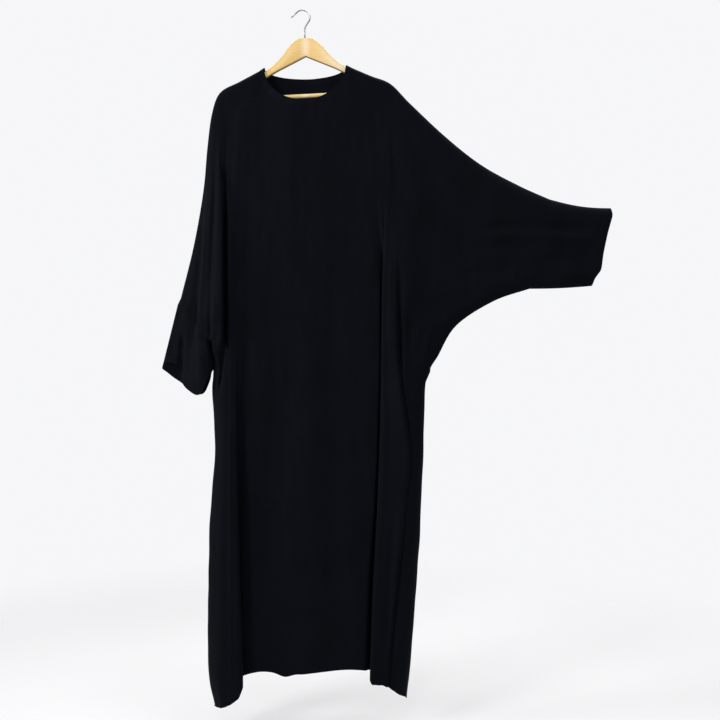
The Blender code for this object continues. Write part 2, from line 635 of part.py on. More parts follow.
def make_material(name, colour, roughness, metallic):
    material = bpy.data.materials.new(name)
    material.use_nodes = True
    shader = material.node_tree.nodes["Principled BSDF"]
    shader.inputs["Base Color"].default_value = (*colour, 1.0)
    shader.inputs["Roughness"].default_value = roughness
    shader.inputs["Metallic"].default_value = metallic
    return material


def start_collection(name):
    for obj in list(bpy.data.objects):
        bpy.data.objects.remove(obj)
    collection = bpy.data.collections.new(name)
    bpy.context.scene.collection.children.link(collection)
    return collection


COLLECTION = start_collection("abaya_on_hanger")


def main():
    crepe, band = make_material(*CREPE), make_material(*CREPE_BAND)
    beech, chrome = make_material(*BEECH), make_material(*CHROME)
    front, back = front_surface(), back_surface()
    panel("front_panel", front, 1, crepe)
    panel("back_panel", back, -1, crepe)
    neckband(front, back, band)
    cuff_object(CUFFS["left"], front, back, 0, crepe)
    cuff_object(CUFFS["right"], front, back, -1, crepe)
    hanger_body(beech)
    hanger_bar(beech)
    hanger_hook(chrome)


main()
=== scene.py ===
import math

import bmesh
import bpy
import numpy as np
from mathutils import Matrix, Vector, noise


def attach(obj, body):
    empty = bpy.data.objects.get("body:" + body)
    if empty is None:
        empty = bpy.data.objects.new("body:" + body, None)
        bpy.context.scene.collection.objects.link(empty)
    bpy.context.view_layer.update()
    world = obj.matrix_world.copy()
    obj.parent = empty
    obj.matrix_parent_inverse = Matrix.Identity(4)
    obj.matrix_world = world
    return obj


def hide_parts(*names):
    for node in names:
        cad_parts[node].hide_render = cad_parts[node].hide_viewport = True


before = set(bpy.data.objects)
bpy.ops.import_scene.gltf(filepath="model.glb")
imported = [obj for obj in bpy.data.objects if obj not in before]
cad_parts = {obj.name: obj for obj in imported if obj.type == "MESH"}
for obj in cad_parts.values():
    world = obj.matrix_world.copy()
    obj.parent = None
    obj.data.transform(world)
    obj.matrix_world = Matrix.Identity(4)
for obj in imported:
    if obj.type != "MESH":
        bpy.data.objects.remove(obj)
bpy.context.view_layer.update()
print("frame loaded:", ", ".join(sorted(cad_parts)))

# camera
scene = bpy.context.scene
camera = {"place": (0.1421, -2.2, -0.8553), "lens": 44.9, "sensor": 36.0, "farthest": 60.0}

cameraObject = bpy.data.objects.new("camera", bpy.data.cameras.new("camera"))
cameraObject.data.lens = camera["lens"]
cameraObject.data.sensor_width = camera["sensor"]
cameraObject.data.clip_end = camera["farthest"]
cameraObject.location = camera["place"]
cameraObject.rotation_euler = (math.pi / 2, 0, 0)       # level, looking at the front
scene.collection.objects.link(cameraObject)
scene.camera = cameraObject
scene.view_settings.view_transform = "Standard"


# small helpers
def ease(start, end, value):
    share = np.clip((np.asarray(value, float) - start) / (end - start), 0.0, 1.0)
    return share * share * (3.0 - 2.0 * share)


def hermite(p1, p2, m1, m2, step, t):
    # cubic from p1 to p2 with slopes m1 and m2 over a step, at share t
    t2, t3 = t * t, t * t * t
    return ((2 * t3 - 3 * t2 + 1) * p1 + (t3 - 2 * t2 + t) * step * m1
            + (3 * t2 - 2 * t3) * p2 + (t3 - t2) * step * m2)


def metres(table):
    # the rows of the tables below are in millimetres, all the other sizes in metres
    return np.array(table, float) / 1000


def tangents(values, step):
    # slope at every point of a curve, from the slopes and the steps on both sides of it
    slope = np.diff(values, axis=0) / step
    inner = (slope[:-1] * step[1:] + slope[1:] * step[:-1]) / (step[:-1] + step[1:])
    return np.concatenate([slope[:1], inner, slope[-1:]])


def smoothTable(table, at):
    # smooth curve through a table whose first column is the height; all the other columns at once
    rows = metres(sorted(table))
    heights, values = rows[:, 0], rows[:, 1:]
    step = np.diff(heights)[:, None]
    tangent = tangents(values, step)
    at = np.clip(at, heights[0], heights[-1])
    i = np.clip(np.searchsorted(heights, at) - 1, 0, len(step) - 1)
    t = (at - heights[i])[..., None] / step[i]
    return hermite(values[i], values[i + 1], tangent[i], tangent[i + 1], step[i], t)


def curveThrough(values, share):
    # smooth curve through evenly numbered points
    i = min(int(share), len(values) - 2)
    slope = np.gradient(values, axis=0)
    return hermite(values[i], values[i + 1], slope[i], slope[i + 1], 1, share - i)


def spread(points, counts):
    # more points along the columns of a grid, on a smooth curve through the given ones
    points = points.swapaxes(0, 1)
    step = np.linalg.norm(np.diff(points[..., :2], axis=0), axis=2)[..., None] + 1e-6
    tangent = tangents(points, step)
    fine = [hermite(points[i], points[i + 1], tangent[i], tangent[i + 1], step[i], k / count)
            for i, count in enumerate(counts) for k in range(count)]
    return np.stack(fine + [points[-1]], axis=1)


def wayAlong(points):
    # length along the first direction of an array of points
    step = np.linalg.norm(np.diff(points, axis=0), axis=-1)
    return np.concatenate([0 * step[:1], np.cumsum(step, axis=0)])


def around(front, back):
    # a ring over the front and home along the back, which share their ends
    return np.concatenate([front, back[-2:0:-1]])


def closeRing(points):
    # the first point once more at the end
    return np.concatenate([points, points[..., :1, :]], axis=-2)


def wander(x, z, scaleX, scaleZ, seed):
    # smooth noise from -1 to 1 on arrays of places
    flat = [noise.noise(Vector((a * scaleX, b * scaleZ, seed)))
            for a, b in zip(np.ravel(x), np.ravel(z))]
    return np.reshape(flat, np.shape(x)) * 1.6


def srgb(code):
    channels = [int(code[i:i + 2], 16) / 255 for i in (1, 3, 5)]
    return tuple(c / 12.92 if c <= 0.04045 else ((c + 0.055) / 1.055) ** 2.4 for c in channels) + (1.0,)


def addNode(tree, kind, settings=None, inputs=None):
    # a node with its settings; an input is a value, or (node, output) for a link
    node = tree.nodes.new("ShaderNode" + kind)
    for name, value in (settings or {}).items():
        setattr(node, name, value)
    for name, value in (inputs or {}).items():
        if isinstance(value, tuple) and isinstance(value[0], bpy.types.Node):
            tree.links.new(value[0].outputs[value[1]], node.inputs[name])
        else:
            node.inputs[name].default_value = value
    return node


def newMaterial(name, fixed):
    material = bpy.data.materials.new(name)
    material.use_nodes = True
    for socket, value in fixed.items():
        material.node_tree.nodes["Principled BSDF"].inputs[socket].default_value = value
    return material, material.node_tree


def feedShader(tree, sources):
    shader = tree.nodes["Principled BSDF"]
    for socket, (node, output) in sources.items():
        tree.links.new(node.outputs[output], shader.inputs[socket])


def bands(mm):
    # scale of a wave texture for bands this far apart; at scale 1 they are 314 mm apart
    return 314 / mm


def setRamp(node, stops):
    ramp = node.color_ramp
    while len(ramp.elements) > 1:
        ramp.elements.remove(ramp.elements[-1])
    ramp.elements[0].position, ramp.elements[0].color = stops[0][0], srgb(stops[0][1])
    for position, code in stops[1:]:
        ramp.elements.new(position).color = srgb(code)


# materials
crepeLook = {
    "dark": "#06080d", "light": "#090c15",      # black dye with a blue cast
    "threadMm": 0.9,        # real threads lie 0.3 mm apart; drawn wider so that they show
    "grainMm": 1.5,         # the pebbles of the crepe
    "creaseMm": 34.0,       # slight rumpling from wear
    "patchMm": 90.0,        # slow drift of the dye and the nap
    "threadDepth": 0.00007, "grainDepth": 0.00016, "creaseDepth": 0.0010,
    "roughness": (0.66, 0.84),
}


def crepeMaterial(name, look):
    # polyester crepe, twisted yarn woven plain: matt, pebbled, with a faint cool nap
    material, tree = newMaterial(name, {
        "Specular IOR Level": 0.05, "Sheen Weight": 0.03, "Sheen Roughness": 0.40,
        "Sheen Tint": srgb("#8f9cba")})
    cloth = addNode(tree, "UVMap", {"uv_map": "cloth"})       # in metres of cloth
    warp, weft = [addNode(tree, "TexWave", {"bands_direction": way},
                          {"Vector": (cloth, "UV"), "Scale": bands(look["threadMm"]), "Distortion": 0.8,
                           "Detail": 1.0, "Detail Scale": 0.6}) for way in "XY"]
    weave = addNode(tree, "Math", {"operation": "MULTIPLY"}, {0: (warp, "Fac"), 1: (weft, "Fac")})
    grain, crease, patch = [
        addNode(tree, "TexNoise", {}, {"Vector": (cloth, "UV"), "Scale": 1000 / look[size], **rest})
        for size, rest in (("grainMm", {"Detail": 3.0, "Roughness": 0.55}),
                           ("creaseMm", {"Detail": 2.5, "Roughness": 0.5, "Distortion": 0.6}),
                           ("patchMm", {"Detail": 3.0}))]
    tone = addNode(tree, "Mix", {"data_type": "FLOAT"}, {0: 0.45, 2: (patch, "Fac"), 3: (grain, "Fac")})
    ramp = addNode(tree, "ValToRGB", {}, {"Fac": (tone, 0)})
    setRamp(ramp, [(0.32, look["dark"]), (0.68, look["light"])])
    low, high = look["roughness"]
    rough = addNode(tree, "MapRange", {}, {
        "Value": (grain, "Fac"), "From Min": 0.3, "From Max": 0.7, "To Min": low, "To Max": high})
    # rumpling, then the pebbles, then the threads
    relief = {}
    for height, depth, strength in (((crease, "Fac"), "creaseDepth", 0.5), ((grain, "Fac"), "grainDepth", 0.8),
                                    ((weave, 0), "threadDepth", 0.8)):
        bump = addNode(tree, "Bump", {}, {
            "Height": height, "Distance": look[depth], "Strength": strength, **relief})
        relief = {"Normal": (bump, "Normal")}
    feedShader(tree, {"Base Color": (ramp, "Color"), "Roughness": (rough, "Result"), **relief})
    return material


def streakedMaterial(name, look, fixed, kind, settings, inputs):
    # one pattern streaks both the colour and the gloss
    material, tree = newMaterial(name, fixed)
    place = addNode(tree, "TexCoord")
    pattern = addNode(tree, kind, settings, {"Vector": (place, "Object"), **inputs})
    ramp = addNode(tree, "ValToRGB", {}, {"Fac": (pattern, "Fac")})
    setRamp(ramp, look["tones"])
    low, high = look["roughness"]
    rough = addNode(tree, "MapRange", {}, {"Value": (pattern, "Fac"), "To Min": low, "To Max": high})
    feedShader(tree, {"Base Color": (ramp, "Color"), "Roughness": (rough, "Result")})
    return material


# spun polyester sewing thread: matt, with the slant of its twist
threadLook = {"tones": ((0.0, "#08090d"), (1.0, "#0f1116")), "roughness": (0.55, 0.7), "twistMm": 0.5}
thread = streakedMaterial("polyester_thread", threadLook, {
    "Specular IOR Level": 0.12, "Sheen Weight": 0.05, "Sheen Roughness": 0.4},
    "TexWave", {"bands_direction": "DIAGONAL"}, {"Scale": bands(threadLook["twistMm"])})

# nickel and chrome plated steel wire, drawn: bright, with faint scratches along it
chromeLook = {"tones": ((0.3, "#a9aaad"), (0.7, "#c0c1c4")), "roughness": (0.38, 0.50),
              "scratches": 900.0}       # a metre, so about 1 mm each
chrome = streakedMaterial("chromed_steel_wire", chromeLook, {"Metallic": 1.0},
                          "TexNoise", {}, {"Scale": chromeLook["scratches"], "Detail": 3.0})

beechLook = {
    "tones": ((0.20, "#efc570"), (0.45, "#f6d086"), (0.62, "#f9d892"), (0.85, "#f2ca7a")),
    # pale is the colour of a painted highlight, under the colour of a painted shade on the underside
    "fleck": "#c08a42", "pale": "#fff0d2", "under": "#7a5a38",
    "ringMm": 7.0,          # distance of the year rings on the face
    "fleckMm": (3.2, 0.5),  # beech's short dark rays, along and across the grain
    "tilt": -3.0,           # the grain runs with the hanger, in degrees about Y
    "paintedHighlight": (0.008, 0.016),    # x of the painted highlight where the two arms meet, and how far it reaches
}


def beechMaterial(name, look):
    # steamed beech under gloss lacquer: warm honey, straight grain, short rays, a wet-looking coat
    material, tree = newMaterial(name, {
        "Specular IOR Level": 0.4, "Coat Weight": 0.6, "Coat Roughness": 0.22, "Coat IOR": 1.45})
    place = addNode(tree, "TexCoord")
    length, width = look["fleckMm"]
    along, fleckPlace = [
        addNode(tree, "Mapping", {}, {
            "Vector": (place, "Object"), "Rotation": (0, math.radians(look["tilt"]), 0), "Scale": scale})
        for scale in ((0.10, 1.0, 1.0), (1000 / length, 1000 / width, 1000 / width))]
    rings = addNode(tree, "TexWave", {"bands_direction": "Z"}, {
        "Vector": (along, "Vector"), "Scale": bands(look["ringMm"]), "Distortion": 5.0,
        "Detail": 3.0, "Detail Scale": 1.4, "Detail Roughness": 0.6})
    fleck = addNode(tree, "TexNoise", {}, {"Vector": (fleckPlace, "Vector"), "Scale": 1.0, "Detail": 1.0})
    fleckShare = addNode(tree, "MapRange", {}, {
        "Value": (fleck, "Fac"), "From Min": 0.60, "From Max": 0.72, "To Min": 0.0, "To Max": 0.35})
    colour = addNode(tree, "ValToRGB", {}, {"Fac": (rings, "Fac")})
    setRamp(colour, look["tones"])
    # painted highlight: paler where the two arms meet and out along the right one, as the lamps light them; painted
    # shade: browner on the faces turned down
    parts = addNode(tree, "SeparateXYZ", {}, {"Vector": (place, "Object")})
    facing = addNode(tree, "SeparateXYZ", {}, {"Vector": (place, "Normal")})
    middle, reach = look["paintedHighlight"]
    offset = addNode(tree, "Math", {"operation": "SUBTRACT"}, {0: (parts, "X"), 1: middle})
    offset = addNode(tree, "Math", {"operation": "ABSOLUTE"}, {0: (offset, "Value")})
    # shares of the painted highlight at the middle and along the right arm, and of the painted shade on down-facing
    # faces
    paintedHighlight, arm, under = [
        addNode(tree, "MapRange", {"interpolation_type": "SMOOTHSTEP"}, {
            "Value": source, "From Min": start, "From Max": end, "To Min": low, "To Max": high})
        for source, start, end, low, high in (((offset, "Value"), 0.0, reach, 0.55, 0.0),
                                              ((parts, "X"), 0.02, 0.10, 0.0, 0.55),
                                              ((facing, "Z"), -0.5, -0.9, 0.0, 0.85))]
    pale = addNode(tree, "Math", {"operation": "MAXIMUM"}, {0: (paintedHighlight, "Result"), 1: (arm, "Result")})
    output = "Color"
    # after the real rays, these mixes paint in the highlight, then the shade on the underside
    for share, tint in (((fleckShare, "Result"), "fleck"), ((pale, "Value"), "pale"), ((under, "Result"), "under")):
        colour = addNode(tree, "Mix", {"data_type": "RGBA"},
                         {0: share, 6: (colour, output), 7: srgb(look[tint])})
        output = 2
    rough = addNode(tree, "MapRange", {}, {"Value": (rings, "Fac"), "To Min": 0.40, "To Max": 0.52})
    bump = addNode(tree, "Bump", {}, {"Height": (fleck, "Fac"), "Distance": 0.00002, "Strength": 0.3})
    feedShader(tree, {"Base Color": (colour, 2), "Roughness": (rough, "Result"), "Normal": (bump, "Normal")})
    return material


crepe = crepeMaterial("black_crepe", crepeLook)
crepeBand = crepeMaterial("black_crepe_doubled", {**crepeLook, "light": "#0b0e16", "creaseDepth": 0.0006})
beech = beechMaterial("lacquered_beech", beechLook)
# a paler copy of the beech for the dowel: painted light, so that it looks as bright as the lit wood though it lies in
# the shade inside the neck
beechDowelPaintedLighter = beechMaterial("lacquered_beech_dowel_painted_lighter", {**beechLook, "ringMm": 4.0, "tones": (
    (0.20, "#f2cf8c"), (0.45, "#f6d898"), (0.62, "#f8dda2"), (0.85, "#f4d391"))})
print("materials made")

# the cut and hang of the cloth
garment = {
    # from the neckline down: left seam x and height, height at the middle, right seam x and height
    "sections": [
        (-92, -139, -222, 108, -132.5),         # neckline edge
        (-105, -148, -237, 121, -139),          # neckband seam
        (-154.5, -174.5, -269, 169, -159.5),
        (-200.5, -200.5, -302, 217, -179),      # end of the hanger
        (-220.5, -253, -350, 266, -228.5),
        (-232, -339, -405, 349, -306.7),
        (-241.5, -441, -465, 439, -377.5),
        (-265, -575, -530, 532, -428.5),
        (-297, -705, -600, 607, -462),          # top of the cuff seams
        (-219.5, -816, -690, 557, -681),        # bottom of the cuff seams
        (-218.3, -832, -722, 470, -711),
        (-216, -857, -772, 379, -770),
        (-217.2, -894, -845, 334, -844),
        (-219.5, -938, -925, 303.5, -909),      # underarm
        (-212.5, -1070, -1055, 299, -1067),
        (-223.5, -1210, -1190, 292, -1205),
        (-228.5, -1370, -1340, 283, -1365),
        (-230, -1600, -1533, 266, -1583),
        (-213, -1696.5, -1613, 256, -1675.5),   # hem
    ],
    "cuffTop": 8, "cuffBottom": 9,
    "rowSpacing": 0.0125, "cuffSpacing": 0.0050, "columnSpacing": 0.0065,
    "hemShares": (0.80, 0.83, 0.84, 0.85, 0.89, 0.94, 0.98),    # extra rows for the turned hem
    "bow": (1.35, 4.0, -0.95, -1.45),       # how a row bows above and below, and between which heights
    "wall": 0.002, "seamGap": 0.0003,
    "seamRound": (0.012, 0.036, -0.26, -0.42),      # how far in the cloth rounds at a seam: above and below
    "seamTight": (-0.825, 0.040, 0.75),     # but less under the hanging sleeve: height, half length, share
    "neckFrom": (-0.225, -0.40), "neckCrowd": 0.78, "backNeckRise": 0.058,
    "seamWave": (0.0016, -0.90, -1.05),     # how far the side seams stray, and between which heights it starts
    "underarmPucker": (-0.888, 0.010, 0.005),       # height, half length, and how far it stands out
    "hemDent": 0.0004, "hemProud": 0.0006,      # at the stitching of a turned edge, and below it
}


def garmentRows():
    # every row of the cloth, how far it belongs to the neck, and whether it ends on a cuff
    table = metres(garment["sections"])
    top, bottom = garment["cuffTop"], garment["cuffBottom"]
    rows, onCuff, starts = [], [], []
    for i in range(len(table) - 1):
        a, b = table[i], table[i + 1]
        reach = max(math.hypot(b[0] - a[0], b[1] - a[1]), abs(b[2] - a[2]), math.hypot(b[3] - a[3], b[4] - a[4]))
        steps = max(2, math.ceil(reach / garment["cuffSpacing" if i == top else "rowSpacing"]))
        shares = [step / steps for step in range(steps)]
        if i == len(table) - 2:
            shares = [s for s in shares if s < garment["hemShares"][0] - 0.02] + list(garment["hemShares"])
        starts.append(len(rows))
        for share in shares:
            if i == top:
                share = (1 - math.cos(math.pi * share)) / 2
                values = a + (b - a) * share
            elif i < top:
                values = curveThrough(table[:top + 1], i + share)
            else:
                values = curveThrough(table[bottom:], i - bottom + share)
            rows.append(values)
            onCuff.append(i == top and share > 0)
    rows.append(table[-1])
    onCuff.append(False)
    rows = np.array(rows)
    strays, start, full = garment["seamWave"]
    wave = strays * ease(start, full, rows[:, 1])
    for side, often, seed in ((0, 14, 4.1), (3, 12, 8.3)):
        rows[:, side] += wave * wander(rows[:, side + 1], rows[:, side + 1], often, 3, seed)
    height, half, out = garment["underarmPucker"]
    rows[:, 3] += out * np.exp(-((rows[:, 4] - height) / half) ** 2)
    neck = 1 - ease(*garment["neckFrom"], rows[:, 2])
    return rows, neck, np.array(onCuff), starts


rows, neckShare, onCuff, sectionStarts = garmentRows()
bandRow = sectionStarts[1]
cuffRows = slice(sectionStarts[garment["cuffTop"]], sectionStarts[garment["cuffBottom"]] + 1)


def rowHeight(j, x, rise=0.0):
    leftX, leftZ, middleZ, rightX, rightZ = rows[j]
    endX, endZ = np.where(x < 0, leftX, rightX), np.where(x < 0, leftZ, rightZ)
    middle = middleZ + rise * neckShare[j]
    t = np.clip(np.asarray(x) / endX, 0, 1)
    high, low, start, full = garment["bow"]
    power = high + (low - high) * float(ease(start, full, middleZ))
    bow = neckShare[j] * (1 - np.sqrt(1 - t * t)) + (1 - neckShare[j]) * t ** power
    return middle + (endZ - middle) * bow


def seamDistance(grid):
    # distance of every point from the nearer side seam, seen from the front
    flat = grid[..., (0, 2)].reshape(-1, 2)
    best = np.full(len(flat), 1.0)
    for side in (0, 3):
        ends = rows[:, side:side + 2]
        for j in range(len(rows) - 1):
            if onCuff[j] or onCuff[j + 1]:
                continue
            a, along = ends[j], ends[j + 1] - ends[j]
            share = np.clip((flat - a) @ along / (along @ along), 0, 1)
            best = np.minimum(best, np.hypot(*(flat - a - share[:, None] * along).T))
    best = best.reshape(grid.shape[:-1])
    best[~onCuff, 0] = best[~onCuff, -1] = 0.0      # the seams are sewn shut
    return best


def seamRounding(distance, x, z):
    small, large, start, full = garment["seamRound"]
    middle, half, less = garment["seamTight"]
    radius = small + (large - small) * ease(start, full, z)
    radius *= 1 - less * np.exp(-((z - middle) / half) ** 2) * (x < 0)
    return np.sqrt(1 - (1 - np.minimum(distance / radius, 1)) ** 2)


def crowd(j, x):
    # columns spread evenly round the neckline, then as their folds ask
    numbers = np.linspace(-1, 1, len(x))
    half = np.where(numbers < 0, -rows[j, 0], rows[j, 3])
    return x + (half * np.sin(numbers * math.pi / 2) - x) * neckShare[j] ** garment["neckCrowd"]


# the front's folds
front = {
    # depth toward the viewer by height: seam edge, sleeve ridge, sleeve fold outer and inner, left pleat
    # outer and inner, middle, right pleat inner and outer, side crease, wing
    "depths": [
        (-140, 12, 12, 12, 12, 12, 12, 13, 20, 13, 12, 12),
        (-240, 12, 12, 12, 12, 12, 13, 21, 14, 12, 12, 12),
        (-350, 14, 18, 20, 16.5, 19, 18, 21, 19, 19, 16, 14),
        (-550, 13, 34, 46, 19, 30, 24, 25, 18, 24.5, 26, 16),
        (-770, 13.9, 42.5, 51, 19, 35.3, 23.1, 25.9, 13.6, 26.3, 31.3, 16.9),
        (-800, 14, 43, 50, 20, 36, 23, 26, 13, 26.5, 32, 17),
        (-835, 15.4, 40, 38, 33, 36, 22.3, 26, 12.8, 26.6, 32.5, 17.7),
        (-870, 16.8, 37, 37, 35, 36, 21.6, 26, 12.5, 26.7, 32.9, 18.4),
        (-950, 20, 36, 38, 37, 38, 20, 26, 12, 27, 39, 20),
        (-1200, 24, 35, 40, 41, 42.5, 15, 26, 10, 31, 39, 23),
        (-1450, 26, 37, 42.5, 43.5, 44, 14, 25.5, 7, 35.5, 34, 26),
        (-1700, 28, 39, 44, 44.5, 44.5, 14, 25.5, 6, 38, 31, 28),
    ],
    # pleats: where each opens, is full, starts to close and has closed, its lap when full and at the end
    "sleeveFold": (-0.33, -0.47, -0.790, -0.835, 0.006, 0.006),
    "leftPleat": (-0.80, -1.35, -2.0, -2.1, 0.030, 0.040),
    "rightPleat": (-0.42, -0.72, -2.0, -2.1, 0.014, 0.030),
    "lapGrows": 0.9,        # the height over which a lap changes
    "rightLoose": (-0.865, 0.070, 0.60),        # where the right groove is shallow: height, half length, share
    # where the folds run: height and x
    "ridgeLine": [(-350, -230), (-465, -236.7), (-610, -241.5), (-700, -246), (-757, -250.5), (-806, -257.5),
                  (-855, -266.5)],
    "sleeveFoldLine": [(-200, -180), (-350, -191), (-450, -189), (-800, -186), (-900, -186), (-1000, -186),
                       (-1700, -184)],
    "leftPleatLine": [(-200, -130), (-450, -145.5), (-850, -145.5), (-1000, -149), (-1200, -148.5), (-1390, -146),
                      (-1540, -140.5), (-1700, -138.5)],
    "rightPleatLine": [(-200, 192), (-450, 195.5), (-615, 195.5), (-750, 194.5), (-1000, 190.8), (-1200, 184),
                       (-1400, 173.5), (-1700, 163)],
    "creaseLine": [(-200, 205), (-400, 234), (-600, 236.5), (-855, 239), (-930, 247), (-1000, 257.5), (-1060, 265),
                   (-1120, 266), (-1200, 257.5), (-1390, 235.5), (-1540, 220.5), (-1700, 208.5)],
    # the side crease: half width, drop, heights between which it starts, share of the drop kept beyond it,
    # and where it is fainter: height, half length, share
    "creaseHalf": 0.0055, "creaseDrop": 0.009, "creaseFrom": (-0.58, -0.74), "creaseStep": 0.6,
    "creaseFaint": (-1.19, 0.07, 0.6), "wingX": 0.330,      # x at which the raised sleeve is at its own depth
    # how far the hem hangs below its row's own line, x and drop: left and right outer layers, then the middle
    "hemLeft": [(-214.8, 1), (-203.9, -13), (-193, -24), (-180.8, -32.5), (-168.7, -37.2), (-159, -37.5),
                (-149.3, -35), (-142.7, -26.7), (-140, -20)],
    "hemRight": [(163.5, -6), (170.3, -10.5), (185.8, -9.5), (197.9, -5.2), (219.8, -7), (236.8, -8), (254.5, -3)],
    "hemMiddle": [(-140, 5.5), (-100, 4.5), (-50, -1), (0, -4), (60, 2.5), (110, 8), (160, 12)],
    "hemDip": (-0.040, 0.020, -0.0085),     # a lower place in the middle: x, half width, drop
    "hemFade": 0.45, "pleatStep": 0.013,        # height over which the hem's drop fades; a pleat's least depth
    "foldTurn": {"sleeveFold": 0.0035, "leftPleat": 0.007, "rightPleat": 0.003},     # radius of each turned edge
    "ridgeStep": [(-4.5, 0.0), (-1.8, 0.10), (1.8, 0.80), (5.5, 1.0)],      # x and share of its rise
    "ridgeRoom": (0.005, 0.0055, 0.020),        # the ridge keeps this far from the edge, and from the sleeve's fold
    "foldRoom": 0.016, "creaseRoom": 0.022,     # and the fold and the side crease this far from their edges
    # beyond the sleeve fold, and before the right pleat: x when flat, x when folded, share of the depth
    "sleeveValley": [(10, 3, 0.12), (13, 6, 0.74), (17, 11.5, 1.0)],
    "rightGroove": [(45, 28, 1.0), (39, 19, 0.97), (33, 8.5, 0.86), (27, 5.2, 0.45), (21, 2.6, 0.12)],
    "grooveLip": 0.005,
    "grooveNarrow": (-1.10, -1.40, 0.60),       # above this the groove has a share of its width
    # where the leaps between folds are measured, columns between them, and half the gap of an unturned pleat
    "foldsAt": (-0.185, -0.145, 0.18, 0.235), "columnsBetween": (7, 2, 5, 4, 2),
    "columnsApart": {"sleeveFold": 0.0035, "leftPleat": 0.005, "rightPleat": 0.006},
    "leftSteps": (0.0, 0.12, 0.32, 0.62), "rightSteps": (0.17, 0.36, 0.56, 0.76, 0.90, 0.97, 0.993, 1.0),
}


def pleatShare(name, z):
    opens, full, closes, shut, lapFull, lapEnd = front[name]
    share = float(ease(opens, full, z) * (1 - ease(closes, shut, z)))
    return share, lapFull + (lapEnd - lapFull) * float(np.clip((full - z) / front["lapGrows"], 0, 1))


def turnedEdge(name, outer, inner, lap, share):
    # six columns of a pleat, from its outer to its inner layer; a column is (x, depth, layer)
    side, apart, turn = math.copysign(1.0, lap), front["columnsApart"][name], front["foldTurn"][name]
    innerDepth = min(inner[1], outer[1] - front["pleatStep"] * min(1.0, 1.5 * share))
    depth = outer[1] - innerDepth
    turned = [(-turn, 0), (0, turn), (-turn, 2 * turn)]
    columns = []
    for i in range(6):
        flatX = outer[0] + side * (i - 2.5) * apart
        flatDepth = outer[1] - depth * (i + 0.5) / 6
        if i < 3:
            x, down = turned[i]
        else:
            x, down = -abs(lap) - turned[5 - i][0], depth - turned[5 - i][1]
        foldX, foldDepth = outer[0] + side * x, outer[1] - down
        columns.append((flatX + (foldX - flatX) * share, flatDepth + (foldDepth - flatDepth) * share,
                        outer[2] + (inner[2] - outer[2]) * i / 5))
    return columns


def between(start, end, count):
    shares = [i / (count + 1) for i in range(1, count + 1)]
    return [tuple(np.array(start) + (np.array(end) - start) * (s, ease(0, 1, s), s)) for s in shares]


def frontColumns(j):
    # every column of a row: x, depth, and its layer: left flap (0), middle (1) or right flap (2)
    row = rows[j]
    z = rowHeight(j, np.array(front["foldsAt"]))
    toFold, toFlap, toMiddle, toGroove, toCrease = front["columnsBetween"]
    pleats = ("sleeveFold", "leftPleat", "rightPleat")
    foldX, leftX, rightX, creaseX = (smoothTable(front[name + "Line"], height)[0]
                                     for name, height in zip((*pleats, "crease"), z))
    foldX, creaseX = max(foldX, row[0] + front["foldRoom"]), min(creaseX, row[3] - front["creaseRoom"])
    (foldShare, foldLap), (leftShare, leftLap), (rightShare, rightLap) = map(pleatShare, pleats, z)
    left, mid, right = (smoothTable(front["depths"], height) for height in (z[0], row[2], z[3]))

    # from the edge over the hanging sleeve's outer band, up its ridge
    lineX = smoothTable(front["ridgeLine"], row[1])[0]
    least, lead, before = front["ridgeRoom"]
    beyond = float(ease(-least, least, row[0] - lineX))     # 1 where the ridge has run onto the cuff
    ridgeX = max(min(max(lineX, row[0] + lead), foldX - before), row[0] + least)
    band = left[0] + (left[1] - left[0]) * beyond
    steps = [(ridgeX + x / 1000, band + (left[1] - band) * share, 0.0) for x, share in front["ridgeStep"]]
    edge = (row[0], band, 0.0)
    columns = [tuple(np.array(edge) + (np.array(steps[0]) - edge) * s) for s in front["leftSteps"]] + steps

    # the sleeve's fold, the valley beyond it and the left pleat
    fold = turnedEdge("sleeveFold", (foldX, left[2], 0.0), (foldX, left[3], 0.0), foldLap, foldShare)
    columns += between(steps[-1], fold[0], toFold) + fold
    base = fold[-1][1]
    valley = [(foldX + (flat + (folded - flat) * foldShare) / 1000, base + (left[4] - base) * share, 0.0)
              for flat, folded, share in front["sleeveValley"]]
    flap = turnedEdge("leftPleat", (leftX, mid[4], 0.0), (leftX, mid[5], 1.0), leftLap, leftShare)
    columns += valley + between(valley[-1], flap[0], toFlap) + flap

    # the middle, the groove before the right pleat, and the pleat
    turn = turnedEdge("rightPleat", (rightX, right[8], 2.0), (rightX, mid[7], 1.0), -rightLap, rightShare)[::-1]
    middle, lip = (0.0, mid[6], 1.0), mid[6] - front["grooveLip"]
    looseZ, looseHalf, loose = front["rightLoose"]
    loose *= math.exp(-((z[2] - looseZ) / looseHalf) ** 2)
    start, full, narrow = front["grooveNarrow"]
    width = narrow + (1 - narrow) * float(ease(start, full, z[2]))
    groove = []
    for flat, folded, share in front["rightGroove"]:
        x = rightX - (flat + (folded * width - flat) * rightShare) / 1000
        level = mid[6] + (turn[0][1] - mid[6]) * x / rightX
        depth = mid[7] + (lip - mid[7]) * (share + (1 - share) * loose)
        groove.append((x, level + (depth - level) * rightShare, 1.0))
    columns += between(flap[-1], middle, toMiddle) + [middle] + between(middle, groove[0], toGroove) + groove + turn

    # the crease in the right flap, and out to the seam
    half, (faintZ, faintHalf, faint) = front["creaseHalf"], front["creaseFaint"]
    sink = front["creaseDrop"] * float(ease(*front["creaseFrom"], z[3]))
    sink *= 1 - faint * math.exp(-((z[3] - faintZ) / faintHalf) ** 2)
    crease = [(creaseX - half, right[9], 2.0), (creaseX, right[9] - sink, 2.0),
              (creaseX + half, right[9] - sink * front["creaseStep"], 2.0)]
    columns += between(turn[-1], crease[0], toCrease) + crease
    start = crease[-1]
    for s in front["rightSteps"]:
        x = start[0] + (row[3] - start[0]) * s
        columns.append((x, float(np.interp(x, [start[0], front["wingX"]], [start[1], right[10]])), 2.0))
    return columns


